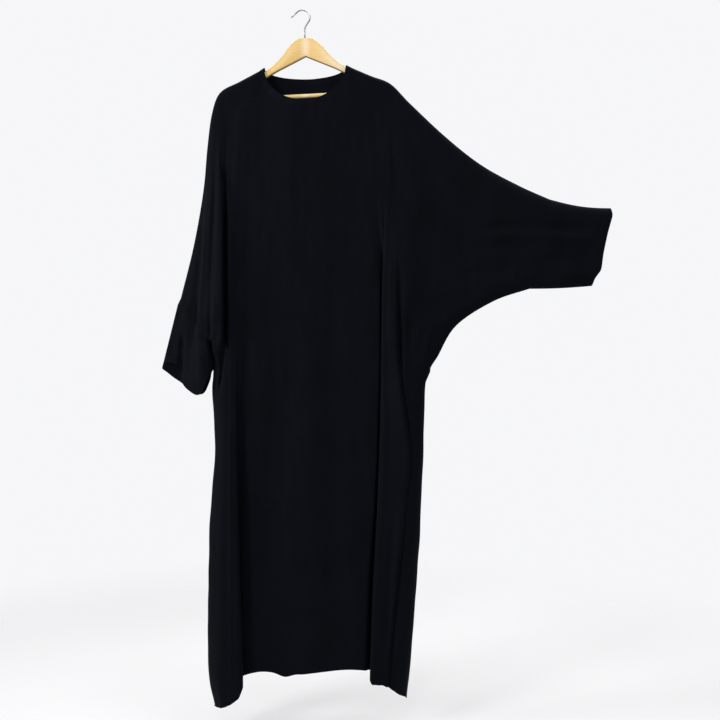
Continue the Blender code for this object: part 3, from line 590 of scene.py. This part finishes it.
def frontGrid():
    columns = np.array([frontColumns(j) for j in range(len(rows))])
    for j in np.nonzero(neckShare)[0]:
        x = crowd(j, columns[j, :, 0])
        columns[j, :, 1] = np.interp(x, columns[j, :, 0], columns[j, :, 1])
        columns[j, :, 0] = x
    step = np.linalg.norm(np.diff(columns[..., :2], axis=1), axis=2).max(axis=0)
    columns = spread(columns, np.maximum(1, np.ceil(step / garment["columnSpacing"])).astype(int))
    grid = np.empty(columns.shape)
    hemZ = rows[-1, 2]
    dipX, dipHalf, dipDepth = front["hemDip"]
    for j, row in enumerate(rows):
        x, depth, layer = columns[j].T
        left, middle, right = (np.interp(x, *metres(front[name]).T) for name in ("hemLeft", "hemMiddle", "hemRight"))
        drop = np.where(layer < 1, left + (middle - left) * layer, middle + (right - middle) * (layer - 1))
        drop = drop + dipDepth * np.exp(-((x - dipX) / dipHalf) ** 2)
        hemShare = float(ease(hemZ + front["hemFade"], hemZ, row[2]))
        grid[j] = np.stack([x, -depth, rowHeight(j, x) + drop * hemShare], axis=1)
    distance = seamDistance(grid)
    grid[..., 1] = grid[..., 1] * seamRounding(distance, grid[..., 0], grid[..., 2]) - garment["seamGap"] / 2
    return grid, distance


# the back hangs plainer
back = {
    "depths": [(-140, 12), (-240, 12), (-400, 15), (-600, 19), (-850, 22), (-1200, 25), (-1700, 27)],
    # soft folds: x at the top and at the bottom, half width, height
    "folds": [(-130, -150, 30, 10), (-60, -75, 26, -7), (10, 0, 34, 11), (105, 85, 28, -6), (190, 170, 32, 10)],
    "foldsFrom": (-0.35, -1.30), "bodyX": 0.225, "wingLeast": 0.03, "bodyColumns": 18,
    "edgeSteps": (0.0, 0.010, 0.035),
}


def backGrid():
    body = np.concatenate([back["edgeSteps"], np.linspace(0, 1, back["bodyColumns"] + 1)[2:]])
    columns = np.zeros((len(rows), len(body) + len(front["rightSteps"]), 2))
    for j, row in enumerate(rows):
        sideX = min(back["bodyX"], row[3] - back["wingLeast"])
        wing = sideX + (row[3] - sideX) * np.array(front["rightSteps"])
        columns[j, :, 0] = crowd(j, np.concatenate([row[0] + (sideX - row[0]) * body, wing]))
    step = np.abs(np.diff(columns[..., 0], axis=1)).max(axis=0)
    x = spread(columns, np.maximum(1, np.ceil(step / garment["columnSpacing"])).astype(int))[..., 0]
    z = np.array([rowHeight(j, x[j], garment["backNeckRise"]) for j in range(len(rows))])
    grid = np.stack([x, np.zeros_like(x), z], axis=2)
    depth = smoothTable(back["depths"], z)[..., 0]
    growth = ease(*back["foldsFrom"], z)
    for topX, bottomX, half, height in metres(back["folds"]):
        depth = depth + height * growth * np.exp(-((x - topX - (bottomX - topX) * growth) / half) ** 2)
    distance = seamDistance(grid)
    grid[..., 1] = depth * seamRounding(distance, x, z) + garment["seamGap"] / 2
    return grid, distance


# small creases, laid on both panels as soft ridges and troughs
creases = {
    # each one: points (x, height) along it, half widths before and after it, height (below 0 for a trough)
    "front": [
        # the hanging sleeve
        ([(-206, -280), (-209, -465), (-213.6, -610), (-219, -715)], (6.5, 6.5), -5),
        ([(-215, -650), (-217, -757), (-218, -812)], (4.8, 4.5), -3.8),
        ([(-211, -690), (-212, -757), (-211, -815)], (4, 16), 6.2),
        ([(-201, -300), (-202, -460), (-204, -640)], (6, 8), 2),
        ([(-174, -440), (-172.5, -620), (-171.5, -800)], (6, 12), 4),
        ([(-272, -600), (-282, -690), (-286, -735)], (6, 6), -2.2),
        ([(-183, -812), (-187.5, -834), (-191.1, -855), (-191.6, -886), (-195, -908), (-201, -960)], (4.2, 4.2), -8),
        # the left flap and the middle
        ([(-172, -960), (-176, -1200), (-178, -1520)], (10, 12), 1),
        ([(-196, -1060), (-202, -1300), (-201, -1640)], (7, 8), -2),
        ([(-110, -560), (-108, -900), (-106, -1250)], (22, 26), 2.6),
        ([(-58, -820), (-56, -1150), (-60, -1560)], (24, 26), -1.6),
        ([(10, -560), (12, -950), (16, -1420)], (30, 30), 1.8),
        ([(78, -640), (84, -1050), (82, -1600)], (24, 24), -1.8),
        # the right flap
        ([(215, -560), (214, -700), (217, -860)], (8, 12), 2.4),
        ([(236, -700), (238.5, -790), (240, -900)], (4.5, 10), -5),
        ([(205, -880), (202, -1020), (203, -1150)], (12, 14), 0.8),
        ([(224, -1200), (213, -1400), (203, -1640)], (10, 7), -4),
        ([(252, -1240), (244, -1400), (228, -1600)], (9, 9), 1.8),
        # up from the underarm, then down from the hanger's end
        ([(272, -870), (262, -800), (270, -720)], (10, 10), -2.5),
        ([(296, -900), (302, -820), (330, -740)], (11, 11), 3),
        ([(205, -250), (260, -380), (300, -560)], (28, 28), 3.6),
        ([(230, -265), (315, -395), (385, -520)], (18, 18), -2.4),
        # along the raised sleeve
        ([(350, -400), (450, -470), (560, -515)], (14, 14), -2.2),
        ([(430, -556), (520, -551), (625, -553)], (10, 10), 3),
        ([(420, -534), (520, -527), (640, -532)], (9, 9), -2.6),
        ([(400, -585), (500, -578), (600, -579)], (11, 11), -2.4),
        ([(360, -655), (440, -637), (530, -640)], (13, 13), -2.6),
    ],
    "back": [
        ([(-190, -300), (-196, -520), (-206, -740)], (14, 14), 4),
        ([(-160, -300), (-168, -560), (-172, -860)], (12, 10), -4.4),
        ([(-224, -500), (-246, -640), (-256, -760)], (6, 14), 4.6),
        ([(-196, -930), (-190, -1150), (-192, -1500)], (10, 14), -4.6),
        ([(205, -250), (270, -400), (310, -580)], (26, 26), 4),
        ([(235, -262), (330, -390), (430, -480)], (18, 18), -3),
        ([(400, -520), (500, -540), (600, -545)], (12, 12), 3.4),
        ([(390, -560), (490, -590), (580, -600)], (12, 12), -2.8),
        ([(350, -660), (430, -640), (520, -640)], (13, 13), 3),
        ([(290, -890), (285, -800), (310, -710)], (12, 12), -3),
        ([(260, -960), (244, -1150), (236, -1400)], (8, 16), 4.6),
        ([(272, -1250), (256, -1420), (238, -1620)], (12, 12), -3),
        ([(60, -300), (52, -520), (50, -760)], (22, 22), 3),
        ([(-30, -290), (-36, -500), (-34, -760)], (20, 20), -2.8),
    ],
    "unevenness": 0.45,
    "slow": (16.0, 3.2, 0.0016),        # long soft waves: how many a metre across and down, and their height
    "quick": (55.0, 16.0, 0.0005),      # rumpling
    "pucker": (95.0, 0.0011, 0.020),    # gathers along the side seams: number a metre, height, reach
    "seamFade": (0.022, 0.004),         # distance from a seam at which the creases, and the gathers, are full
}


def creaseRelief(x, z, lines, seed):
    relief = np.zeros(x.shape)
    for number, (line, halves, height) in enumerate(lines):
        line, halves, height = metres(line), metres(halves), height / 1000
        places, knots = np.linspace(0, 1, 13), np.linspace(0, 1, len(line))
        path = np.stack([np.interp(places, knots, line[:, k]) for k in (0, 1)], axis=1)
        path[1:-1] = (path[:-2] + 2 * path[1:-1] + path[2:]) / 4
        best, share, half = np.full(x.shape, 9.0), np.zeros(x.shape), np.full(x.shape, halves[0])
        for k in range(len(path) - 1):
            a, along = path[k], path[k + 1] - path[k]
            t = np.clip(((x - a[0]) * along[0] + (z - a[1]) * along[1]) / (along @ along), 0, 1)
            d = np.hypot(x - a[0] - t * along[0], z - a[1] - t * along[1])
            side = along[0] * (z - a[1]) - along[1] * (x - a[0])
            share = np.where(d < best, (k + t) / (len(path) - 1), share)
            half = np.where(d < best, np.where(side > 0, halves[1], halves[0]), half)
            best = np.minimum(best, d)
        wild = 1 + creases["unevenness"] * wander(share * 3.0, share * 0 + number, 1.0, 0.7, seed)
        relief += height * wild * np.exp(-(best / half) ** 2) * ease(0, 0.3, share) * ease(1, 0.7, share)
    return relief


def addCreases(grid, distance, which, seed):
    x, z = grid[..., 0], grid[..., 2]
    relief = creaseRelief(x, z, creases[which], seed)
    for scaleX, scaleZ, height in (creases["slow"], creases["quick"]):
        relief += height * wander(x, z, scaleX, scaleZ, seed + scaleX)
    many, height, reach = creases["pucker"]
    gathers = height * wander(x * 0.35, z, many, many, seed + 2) * np.exp(-distance / reach)
    nearSeam, toSeam = creases["seamFade"]
    relief = relief * ease(0, nearSeam, distance) + gathers * ease(0, toSeam, distance)
    grid[..., 1] += (-1 if which == "front" else 1) * relief
    return grid


def turnHem(grid, which):
    # the hem is turned up twice: it stands a little proud below its stitching, but the side seams stay shut
    stitched = len(rows) - len(garment["hemShares"])
    side = -1 if which == "front" else 1
    grid[stitched, 1:-1, 1] -= side * garment["hemDent"]
    grid[stitched + 1:, 1:-1, 1] += side * garment["hemProud"]
    return stitched


def clothCoordinates(grid):
    # metres of cloth across and down at every point
    u = wayAlong(grid.swapaxes(0, 1)).T
    middle = u.shape[1] // 2
    return u - u[:, middle:middle + 1], -wayAlong(grid)


def clothObject(name, grid, centre, material, wall, closed=False):
    # a surface through a grid of points, facing away from a centre, with a wall behind it
    if closed:
        grid = closeRing(grid)
    u, v = clothCoordinates(grid)
    rowCount, width = grid.shape[:2]
    bm = bmesh.new()
    bmesh.ops.create_grid(bm, x_segments=width - 1, y_segments=rowCount - 1, size=0.5)
    cloth = bm.loops.layers.uv.new("cloth")
    place = {}
    for vert in bm.verts:
        place[vert] = round((0.5 - vert.co.y) * (rowCount - 1)), round((vert.co.x + 0.5) * (width - 1))
    for vert, index in place.items():
        vert.co = grid[index]
    for face in bm.faces:
        face.smooth = True
        for loop in face.loops:
            loop[cloth].uv = u[place[loop.vert]], v[place[loop.vert]]
    if closed:
        bmesh.ops.remove_doubles(bm, verts=bm.verts[:], dist=1e-6)
    centre = Vector(centre)
    bm.normal_update()
    for edge in bm.edges:
        edge.smooth = not edge.is_boundary          # the rim of the cloth stays crisp
    facing = sum((face.calc_center_median() - centre).normalized().dot(face.normal) for face in bm.faces)
    if facing < 0:
        bmesh.ops.reverse_faces(bm, faces=bm.faces[:])
    obj = meshObject(name, bm, material)
    solid = obj.modifiers.new("wall", "SOLIDIFY")
    solid.thickness, solid.offset = wall, -1.0
    return obj


def meshObject(name, bm, material):
    mesh = bpy.data.meshes.new(name)
    bm.to_mesh(mesh)
    bm.free()
    obj = bpy.data.objects.new(name, mesh)
    obj.data.materials.append(material)
    scene.collection.objects.link(obj)
    return obj


frontShape = addCreases(*frontGrid(), "front", 11.0)
backShape = addCreases(*backGrid(), "back", 23.0)
hemRow = turnHem(frontShape, "front")
turnHem(backShape, "back")
frontPanel = clothObject("abaya_front", frontShape[bandRow:], (0.1, 9.0, -0.8), crepe, garment["wall"])
backPanel = clothObject("abaya_back", backShape[bandRow:], (0.1, -9.0, -0.8), crepe, garment["wall"])
print("panels:", frontShape.shape[:2], "and", backShape.shape[:2], "points")

# the doubled band round the neckline
band = {"rows": 6, "swell": 0.0007, "wall": 0.0024}


def neckbandGrid():
    top, low = [around(frontShape[row], backShape[row]) for row in (0, bandRow)]
    for ring in (top, low):
        ring[[0, frontShape.shape[1] - 1], 1] = 0.0
    shares = np.linspace(0, 1, band["rows"])
    grid = np.stack([top + (low - top) * s for s in shares])
    outward = grid - grid.mean(axis=(0, 1))
    outward[..., 2] = 0
    outward /= np.linalg.norm(outward, axis=2, keepdims=True)
    swell = band["swell"] * np.sqrt(np.clip(1 - (2 * shares - 1) ** 2, 0, 1))
    return grid + outward * swell[:, None, None]


bandShape = neckbandGrid()
neckband = clothObject("abaya_neckband", bandShape, bandShape.mean(axis=(0, 1)), crepeBand, band["wall"], True)

# cuffs
cuffs = {
    # the end runs from the over-arm corner round the lowest corner to the underarm corner: x, height, and how
    # much higher the front layer's edge is there; pinch: how far from its upper and lower edge a layer rounds out
    "left": {
        "name": "abaya_cuff_hanging", "column": 0, "rings": 22, "depth": 0.029, "round": False,
        "pinch": (0.150, 0.006), "pinchBack": (0.170, 0.030),
        "end": [(-339.5, -875.5, 0), (-336, -879.5, 15.5), (-326.3, -886.8, 24), (-316.6, -896.2, 33.6),
                (-306.8, -903.5, 40.5), (-301, -906.6, 32.6), (-295, -911.5, 8.5), (-287.3, -918.5, 0),
                (-277.6, -926.7, 0), (-267.8, -933.5, 0), (-257, -941, 0), (-247.5, -942.5, 0), (-242, -937.5, 0),
                (-239, -931, 0), (-228.3, -906, 0), (-220, -886, 0), (-211.8, -877.5, 0)],
        "sag": (0.0, 0.0),      # how far the upper and the lower edge hang down halfway along
        "flare": -0.0035,       # how far the upper edge stands out past the seam
        "forward": 0.022, "bow": 0.0045,        # how far the lower edge lies in front of the seam, and bows inward
        "creases": [([(-290, -780), (-292.5, -825), (-294.5, -870), (-295, -915)], (6.5, 5.5), -8.5),
                    ([(-249, -750), (-257, -806), (-262, -855), (-264.5, -883), (-266.5, -960)], (5, 60), 8)],
    },
    "right": {
        "name": "abaya_cuff_raised", "column": -1, "rings": 18, "depth": 0.013, "round": True,
        "pinch": (0.030, 0.030), "pinchBack": (0.034, 0.034),
        "end": [(755.5, -483.5, 0), (758, -503, 0), (746, -545, 0), (734.5, -600, 0), (730, -636, 0),
                (714.5, -656, 0), (709.5, -674, 0)],
        "sag": (0.006, 0.0020), "flare": 0.0, "forward": 0.0, "bow": 0.0,
        "creases": [([(590, -552), (650, -556), (720, -566)], (10, 10), 3),
                    ([(590, -530), (650, -531), (730, -536)], (10, 10), -2.6),
                    ([(580, -600), (650, -606), (710, -612)], (12, 12), -2.6),
                    ([(600, -640), (650, -646), (700, -650)], (9, 9), 2.2)],
    },
}
cuffBack = {"bulge": 0.8, "creases": 0.55}      # the back layer's share of the front's
cuffWaves = (24, 18, 0.0016)        # how many a metre across and down, and their height


def edgeRise(reach, isRound):
    # how a cuff's wall rises from its folded edge: as a round tube, or slowly where it lies collapsed
    reach = np.minimum(reach, 1)
    return np.sqrt(1 - (1 - reach) ** 2) if isRound else ease(0, 1, reach)


def cuffGrid(cuff, seed):
    onFront, onBack = frontShape[cuffRows, cuff["column"]], backShape[cuffRows, cuff["column"]]
    ring = around(onFront, onBack)
    half = len(onFront) - 1
    ring[[0, half], 1] = 0.0
    end = metres(cuff["end"])
    way = wayAlong(end[:, :2])
    shares = (1 - np.cos(np.linspace(0, math.pi, half + 1))) / 2
    line = np.stack([np.interp(shares * way[-1], way, end[:, k]) for k in range(3)], axis=1)
    for _ in range(2):
        line[1:-1] = line[:-2] / 4 + line[1:-1] / 2 + line[2:] / 4
    bulge, bulgeBack = (cuff["depth"] * np.minimum(edgeRise(way[-1] * shares / upper, cuff["round"]),
                                                   edgeRise(way[-1] * (1 - shares) / lower, cuff["round"]))
                        for upper, lower in (cuff["pinch"], cuff["pinchBack"]))
    endFront = np.stack([line[:, 0], -bulge, line[:, 1] + line[:, 2]], axis=1)
    endBack = np.stack([line[:, 0], bulgeBack * cuffBack["bulge"], line[:, 1]], axis=1)
    ends = around(endFront, endBack)

    # from the seam to the end, with the way its edges hang
    t = np.linspace(0, 1, cuff["rings"] + 1)
    swing = np.sin(math.pi * t)[:, None]
    down = around(shares, shares)
    grid = ring + (ends - ring) * t[:, None, None]
    over, under = cuff["sag"]
    grid[..., 2] -= (over + (under - over) * down) * swing * np.abs(1 - 2 * down)
    grid[..., 0] += cuff["flare"] * ((1 - down) ** 3 * ease(0, 0.08, t)[:, None])
    grid[..., 0] += cuff["bow"] * swing * ease(0.80, 1.0, down)
    forward = cuff["forward"] * ease(0, 0.4, t)[:, None] * ease(0.70, 1.0, down)
    isBack = np.arange(grid.shape[1]) > half
    grid[..., 1] = np.where(isBack, grid[..., 1] - forward, np.minimum(grid[..., 1], -forward))

    # creases and waves, none at the seam or the folded edges
    reach = way[-1] * np.minimum(down, 1 - down)
    side = np.where(isBack, 1.0, -1.0)
    x, z, (scaleX, scaleZ, height) = grid[..., 0], grid[..., 2], cuffWaves
    relief = creaseRelief(x, z, cuff["creases"], seed) * np.where(isBack, cuffBack["creases"], 1.0)
    relief += height * wander(x, z, scaleX, scaleZ, seed)
    grid[..., 1] += side * relief * (ease(0, 0.02, reach)[None, :] * ease(0, 0.12, t)[:, None])
    grid[-2:, :, 1] += side * garment["hemProud"]
    return grid


cuffObjects = {}
for number, (key, cuff) in enumerate(cuffs.items()):
    cuff["grid"] = cuffGrid(cuff, 31.0 + number)
    cuffObjects[key] = clothObject(cuff["name"], cuff["grid"], cuff["grid"].mean(axis=(0, 1)), crepe,
                                   garment["wall"], True)
print("neckband and cuffs made")

# the hanger
hanger = {
    "tilt": 3.0,            # degrees, the right arm up
    # arm: x, top, bottom, in the hanger's upright frame about the hook
    "arm": [(0, -65, -111.5), (12, -66, -117.2), (26, -73.5, -123.9), (41, -88, -131.1), (55, -106, -137.8),
            (70, -122, -145), (88, -136.5, -154.8), (108, -150, -166.5), (132, -161.4, -179), (158, -173.8, -192),
            (178, -183.9, -216.5), (188, -189.6, -217.5), (195, -196, -215)],
    "steps": 5, "halfThick": 0.0064, "edgeRound": 0.0032, "cornerPoints": 6,
    "aside": (0.0036, 0.06, 0.16),      # the wood's crown lies this far beside the hook's line, and where that ends
    "hollow": (0.0045, 0.050),          # the crown lies back between the arms: how far, and its half width
    "barRadius": 0.0055, "barHalf": 0.1785, "barZ": -0.2090, "barSag": 0.0006,
    "wire": 0.0019, "stemX": 0.0036, "stem": 0.014, "seat": 0.004,
    "hookRadius": 0.0185, "bend": (-38, 130), "tip": 0.018,     # the bend in degrees, then the straight tip
}


def tilted(x, y, z):
    a = math.radians(hanger["tilt"])
    return x * math.cos(a) - z * math.sin(a), y, x * math.sin(a) + z * math.cos(a)


def solidObject(name, bm, material, flatEnds=True):
    # outward faces, smooth but for the ends
    bmesh.ops.recalc_face_normals(bm, faces=bm.faces[:])
    for face in bm.faces:
        face.smooth = len(face.verts) == 4 or not flatEnds
    return meshObject(name, bm, material)


def hangerBody():
    # rings of a rounded rectangle from one end of the wood to the other, bridged
    table = metres(hanger["arm"])
    arm = [curveThrough(table, i / hanger["steps"]) for i in range(hanger["steps"] * (len(table) - 1) + 1)]
    sections = [(row, -1) for row in reversed(arm)] + [(row, 1) for row in arm[1:]]
    corner, edge = hanger["cornerPoints"], hanger["edgeRound"]
    depth, (aside, near, far), (sunk, reach) = hanger["halfThick"], hanger["aside"], hanger["hollow"]
    bm = bmesh.new()
    rings = []
    for (x, top, bottom), side in sections:
        shift, behind = aside * (1 - float(ease(near, far, x))), sunk * math.exp(-(x / reach) ** 2)
        middle, half = (top + bottom) / 2, (top - bottom) / 2
        ring = bmesh.ops.create_circle(bm, segments=4 * corner, radius=1.0)["verts"]
        for k, vert in enumerate(ring):
            quarter, i = divmod(k, corner)
            angle = math.pi / 2 * (quarter + i / (corner - 1))
            signY = 1 if quarter in (0, 3) else -1
            signZ = 1 if quarter in (0, 1) else -1
            vert.co = tilted(side * x + shift, behind + signY * (depth - edge) + edge * math.cos(angle),
                             middle + signZ * (half - edge) + edge * math.sin(angle))
        inside = set(ring)
        rings.append([line for line in bm.edges if line.verts[0] in inside and line.verts[1] in inside])
    for first, second in zip(rings[:-1], rings[1:]):
        bmesh.ops.bridge_loops(bm, edges=first + second)
    bmesh.ops.holes_fill(bm, edges=rings[0] + rings[-1], sides=4 * corner)
    return solidObject("hanger_wood", bm, beech)


def wireObject(name, path, radius, sides, material):
    # a round wire along a path with a rounded tip, made a mesh
    curve = bpy.data.curves.new(name, "CURVE")
    curve.dimensions = "3D"
    curve.bevel_depth, curve.bevel_resolution, curve.use_fill_caps = radius, sides, True
    spline = curve.splines.new("POLY")
    spline.points.add(len(path) - 1)
    for point, place in zip(spline.points, path):
        point.co = (*place, 1.0)
    holder = bpy.data.objects.new(name + "_path", curve)
    scene.collection.objects.link(holder)
    made = bpy.data.meshes.new_from_object(holder.evaluated_get(bpy.context.evaluated_depsgraph_get()))
    bpy.data.objects.remove(holder)
    bm = bmesh.new()
    bm.from_mesh(made)
    bmesh.ops.remove_doubles(bm, verts=bm.verts[:], dist=1e-6)
    tip = bmesh.ops.create_uvsphere(bm, u_segments=16, v_segments=10, radius=radius)["verts"]
    bmesh.ops.translate(bm, verts=tip, vec=path[-1])
    return solidObject(name, bm, material, flatEnds=False)


def hangerHook():
    radius, wire, stemX = hanger["hookRadius"], hanger["wire"], hanger["stemX"]
    centre, crown = wire - radius, metres(hanger["arm"])[0, 1]
    seat, stemTop = crown - hanger["seat"], crown + hanger["stem"]
    angles = np.radians(np.linspace(*hanger["bend"], 41))
    bend = [(radius * math.cos(a), centre + radius * math.sin(a)) for a in angles]
    rise = math.hypot(bend[0][0] - stemX, bend[0][1] - stemTop)
    sweep = [(hermite(stemX, bend[0][0], 0.0, -math.sin(angles[0]), rise, t),
              hermite(stemTop, bend[0][1], 1.0, math.cos(angles[0]), rise, t)) for t in np.linspace(0, 1, 12)[1:-1]]
    last = angles[-1]
    tip = [(bend[-1][0] - math.sin(last) * hanger["tip"], bend[-1][1] + math.cos(last) * hanger["tip"])]
    path = [tilted(x, 0.0, z) for x, z in [(stemX, seat), (stemX, stemTop)] + sweep + bend + tip]
    return wireObject("hanger_wire_hook", path, wire, 5, chrome)


def hangerBar():
    bm = bmesh.new()
    bmesh.ops.create_cone(bm, cap_ends=True, segments=40, radius1=hanger["barRadius"],
                          radius2=hanger["barRadius"], depth=2 * hanger["barHalf"])
    sides = [edge for edge in bm.edges if abs(edge.verts[0].co.z - edge.verts[1].co.z) > 0.1]
    bmesh.ops.subdivide_edges(bm, edges=sides, cuts=15)
    for vert in bm.verts:
        bow = hanger["barSag"] * math.cos(vert.co.z / hanger["barHalf"] * math.pi / 2)
        vert.co = tilted(vert.co.z, vert.co.y, vert.co.x + hanger["barZ"] - bow)
    return solidObject("hanger_dowel", bm, beechDowelPaintedLighter)


wood, hook, bar = hangerBody(), hangerHook(), hangerBar()
print("hanger made")

# sewing: raised topstitches, one small bead of thread each
sewing = {"pitch": 0.0032, "length": 0.0024, "width": 0.0006, "neckRow": 4, "cuffRing": -3}


def stitchLine(bm, line, outward):
    # stitches along a line of points, pressed halfway into the cloth
    way = wayAlong(line)
    for at in np.arange(sewing["pitch"] / 2, way[-1], sewing["pitch"]):
        point, ahead, up = [Vector([np.interp(where, way, table[:, k]) for k in range(3)]) for where, table in
                            ((at, line), (min(at + 0.001, way[-1]), line), (at, outward))]
        along = ahead - point
        if along.length < 1e-6:
            continue
        along.normalize()
        across = up.normalized().cross(along).normalized()
        up = along.cross(across)
        for vert in bmesh.ops.create_icosphere(bm, subdivisions=1, radius=1.0)["verts"]:
            x, y, z = vert.co
            vert.co = point + along * x * sewing["length"] / 2 + (across * y + up * z) * sewing["width"] / 2


def sideways(grid, sign):
    # unit normals of a grid, turned to the side wanted
    across, down = np.gradient(grid, axis=1), np.gradient(grid, axis=0)
    normals = np.cross(across, down)
    normals /= np.linalg.norm(normals, axis=2, keepdims=True) + 1e-12
    middle = normals[len(grid) // 2, grid.shape[1] // 2, 1]
    return normals * (1 if middle * sign > 0 else -1)


def sewnObject(name, runs):
    bm = bmesh.new()
    for line, outward in runs:
        stitchLine(bm, line, outward)
    return meshObject(name, bm, thread)


hemStitches = sewnObject("hem_stitches", [
    (shape[hemRow], sideways(shape[hemRow - 2:hemRow + 3], sign)[2])
    for shape, sign in ((frontShape, -1), (backShape, 1))])
ring = closeRing(bandShape[sewing["neckRow"]])
neckStitches = sewnObject("neck_stitches", [(ring, (ring - bandShape.mean(axis=(0, 1))) * (1, 1, 0))])
cuffStitches = {}
for key, cuff in cuffs.items():
    ring = cuff["grid"][sewing["cuffRing"]]
    outward = (ring - ring.mean(axis=0)) * (0.25, 6, 0.25)      # mostly out of the flat cuff's faces
    cuffStitches[key] = sewnObject(cuff["name"] + "_stitches", [(closeRing(ring), closeRing(outward))])
print("stitches sewn")

# floor, world and lights
studio = {
    "floorZ": -1.76, "floor": ("#e4e3e4", "#ecebec"), "patchMm": 1250,
    "floorFade": (0.6, 2.0),        # radii between which it thins out
    "world": "#f6f6f8", "seen": 1.0, "lights": 0.36,       # strength to the eye, and on the object
    "lamps": {      # place, size, watts, target, spread of the beam in degrees
        "key": ((-2.25, -1.97, 0.15), (0.9, 0.9), 11.8, (0.1, 0.0, -0.64), 90),
        "side": ((-3.10, -0.72, -0.10), (0.7, 1.4), 10.6, (0.0, 0.0, -0.70), 90),
        "fill": ((2.4, -2.4, -0.3), (1.8, 1.8), 10.2, (0.1, 0.0, -0.9), 180),
        "strip": ((-0.20, -3.0, 0.92), (0.30, 0.9), 9.0, (0.0, 0.0, -0.1), 180),
        "rear": ((1.6, 2.9, 0.4), (1.4, 1.4), 6.0, (0.1, 0.0, -0.75), 90),
        "top": ((0.6, 0.7, 1.9), (3.0, 2.4), 90.0, (0.2, 0.3, -1.76), 180),      # lights the floor
    },
}

floorMesh = bmesh.new()
bmesh.ops.create_circle(floorMesh, cap_ends=True, segments=96, radius=studio["floorFade"][1] + 0.1)
bmesh.ops.translate(floorMesh, verts=floorMesh.verts[:], vec=(0.0, 0.0, studio["floorZ"]))
# matt painted board: pale, slightly uneven, thinning out to nothing so that no edge shows
floorPaint, floorTree = newMaterial("matt_floor_paint", {"Roughness": 0.9, "Specular IOR Level": 0.1})
floorPlace = addNode(floorTree, "TexCoord")
floorNoise = addNode(floorTree, "TexNoise", {}, {"Vector": (floorPlace, "Object"), "Scale": 1000 / studio["patchMm"]})
floorRamp = addNode(floorTree, "ValToRGB", {}, {"Fac": (floorNoise, "Fac")})
setRamp(floorRamp, [(0.3, studio["floor"][0]), (0.7, studio["floor"][1])])
floorFlat = addNode(floorTree, "VectorMath", {"operation": "MULTIPLY"},
                    {0: (floorPlace, "Object"), 1: (1.0, 1.0, 0.0)})
floorReach = addNode(floorTree, "VectorMath", {"operation": "LENGTH"}, {0: (floorFlat, "Vector")})
floorAlpha = addNode(floorTree, "MapRange", {"interpolation_type": "SMOOTHSTEP"},
                     {"Value": (floorReach, "Value"), "From Min": studio["floorFade"][0],
                      "From Max": studio["floorFade"][1], "To Min": 1.0, "To Max": 0.0})
feedShader(floorTree, {"Base Color": (floorRamp, "Color"), "Alpha": (floorAlpha, "Result")})
floor = meshObject("floor", floorMesh, floorPaint)

world = bpy.data.worlds.new("studio")
scene.world = world
world.use_nodes = True
sky = world.node_tree.nodes["Background"]
sky.inputs["Color"].default_value = srgb(studio["world"])
ray = addNode(world.node_tree, "LightPath")
glow = addNode(world.node_tree, "MapRange", {}, {
    "Value": (ray, "Is Camera Ray"), "To Min": studio["lights"], "To Max": studio["seen"]})
world.node_tree.links.new(glow.outputs["Result"], sky.inputs["Strength"])

for name, (place, size, power, target, beam) in studio["lamps"].items():
    light = bpy.data.lights.new(name, "AREA")
    light.energy, light.shape = power, "RECTANGLE"
    light.size, light.size_y = size
    light.spread = math.radians(beam)
    obj = bpy.data.objects.new(name, light)
    obj.location = place
    obj.rotation_euler = (Vector(target) - Vector(place)).to_track_quat("-Z", "Y").to_euler()
    obj.visible_camera = False
    scene.collection.objects.link(obj)

# what each piece is, and what it stands for
pieces = [
    (frontPanel, "front_panel", "crepe"), (backPanel, "back_panel", "crepe"),
    (neckband, "neckband", "crepe_band"), (cuffObjects["left"], "cuff_hanging", "crepe"),
    (cuffObjects["right"], "cuff_raised", "crepe"), (wood, "hanger_body", "hanger_wood"),
    (bar, "hanger_bar", "hanger_wood"), (hook, "hanger_hook", "hanger_wire"),
    (hemStitches, None, "crepe"), (neckStitches, None, "crepe_band"),
    (cuffStitches["left"], None, "crepe"), (cuffStitches["right"], None, "crepe"),
]
for piece, node, slot in pieces:
    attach(piece, "root")
    if node:
        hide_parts(node)


for label, grid, tube in (("front", frontShape[bandRow:], False), ("back", backShape[bandRow:], False),
                          ("neckband", bandShape, True), ("cuff left", cuffs["left"]["grid"], True),
                          ("cuff right", cuffs["right"]["grid"], True)):
    across, down = wayAlong(grid.swapaxes(0, 1))[-1].max(), wayAlong(grid)[-1].max()
    grid = closeRing(grid) if tube else grid
    a, b = grid[1:, 1:] - grid[:-1, :-1], grid[1:, :-1] - grid[:-1, 1:]
    area = np.linalg.norm(np.cross(a, b), axis=2).sum() / 2
    print("cut of", label, round(across, 3), "by", round(down, 3), "m, area", round(area, 4))
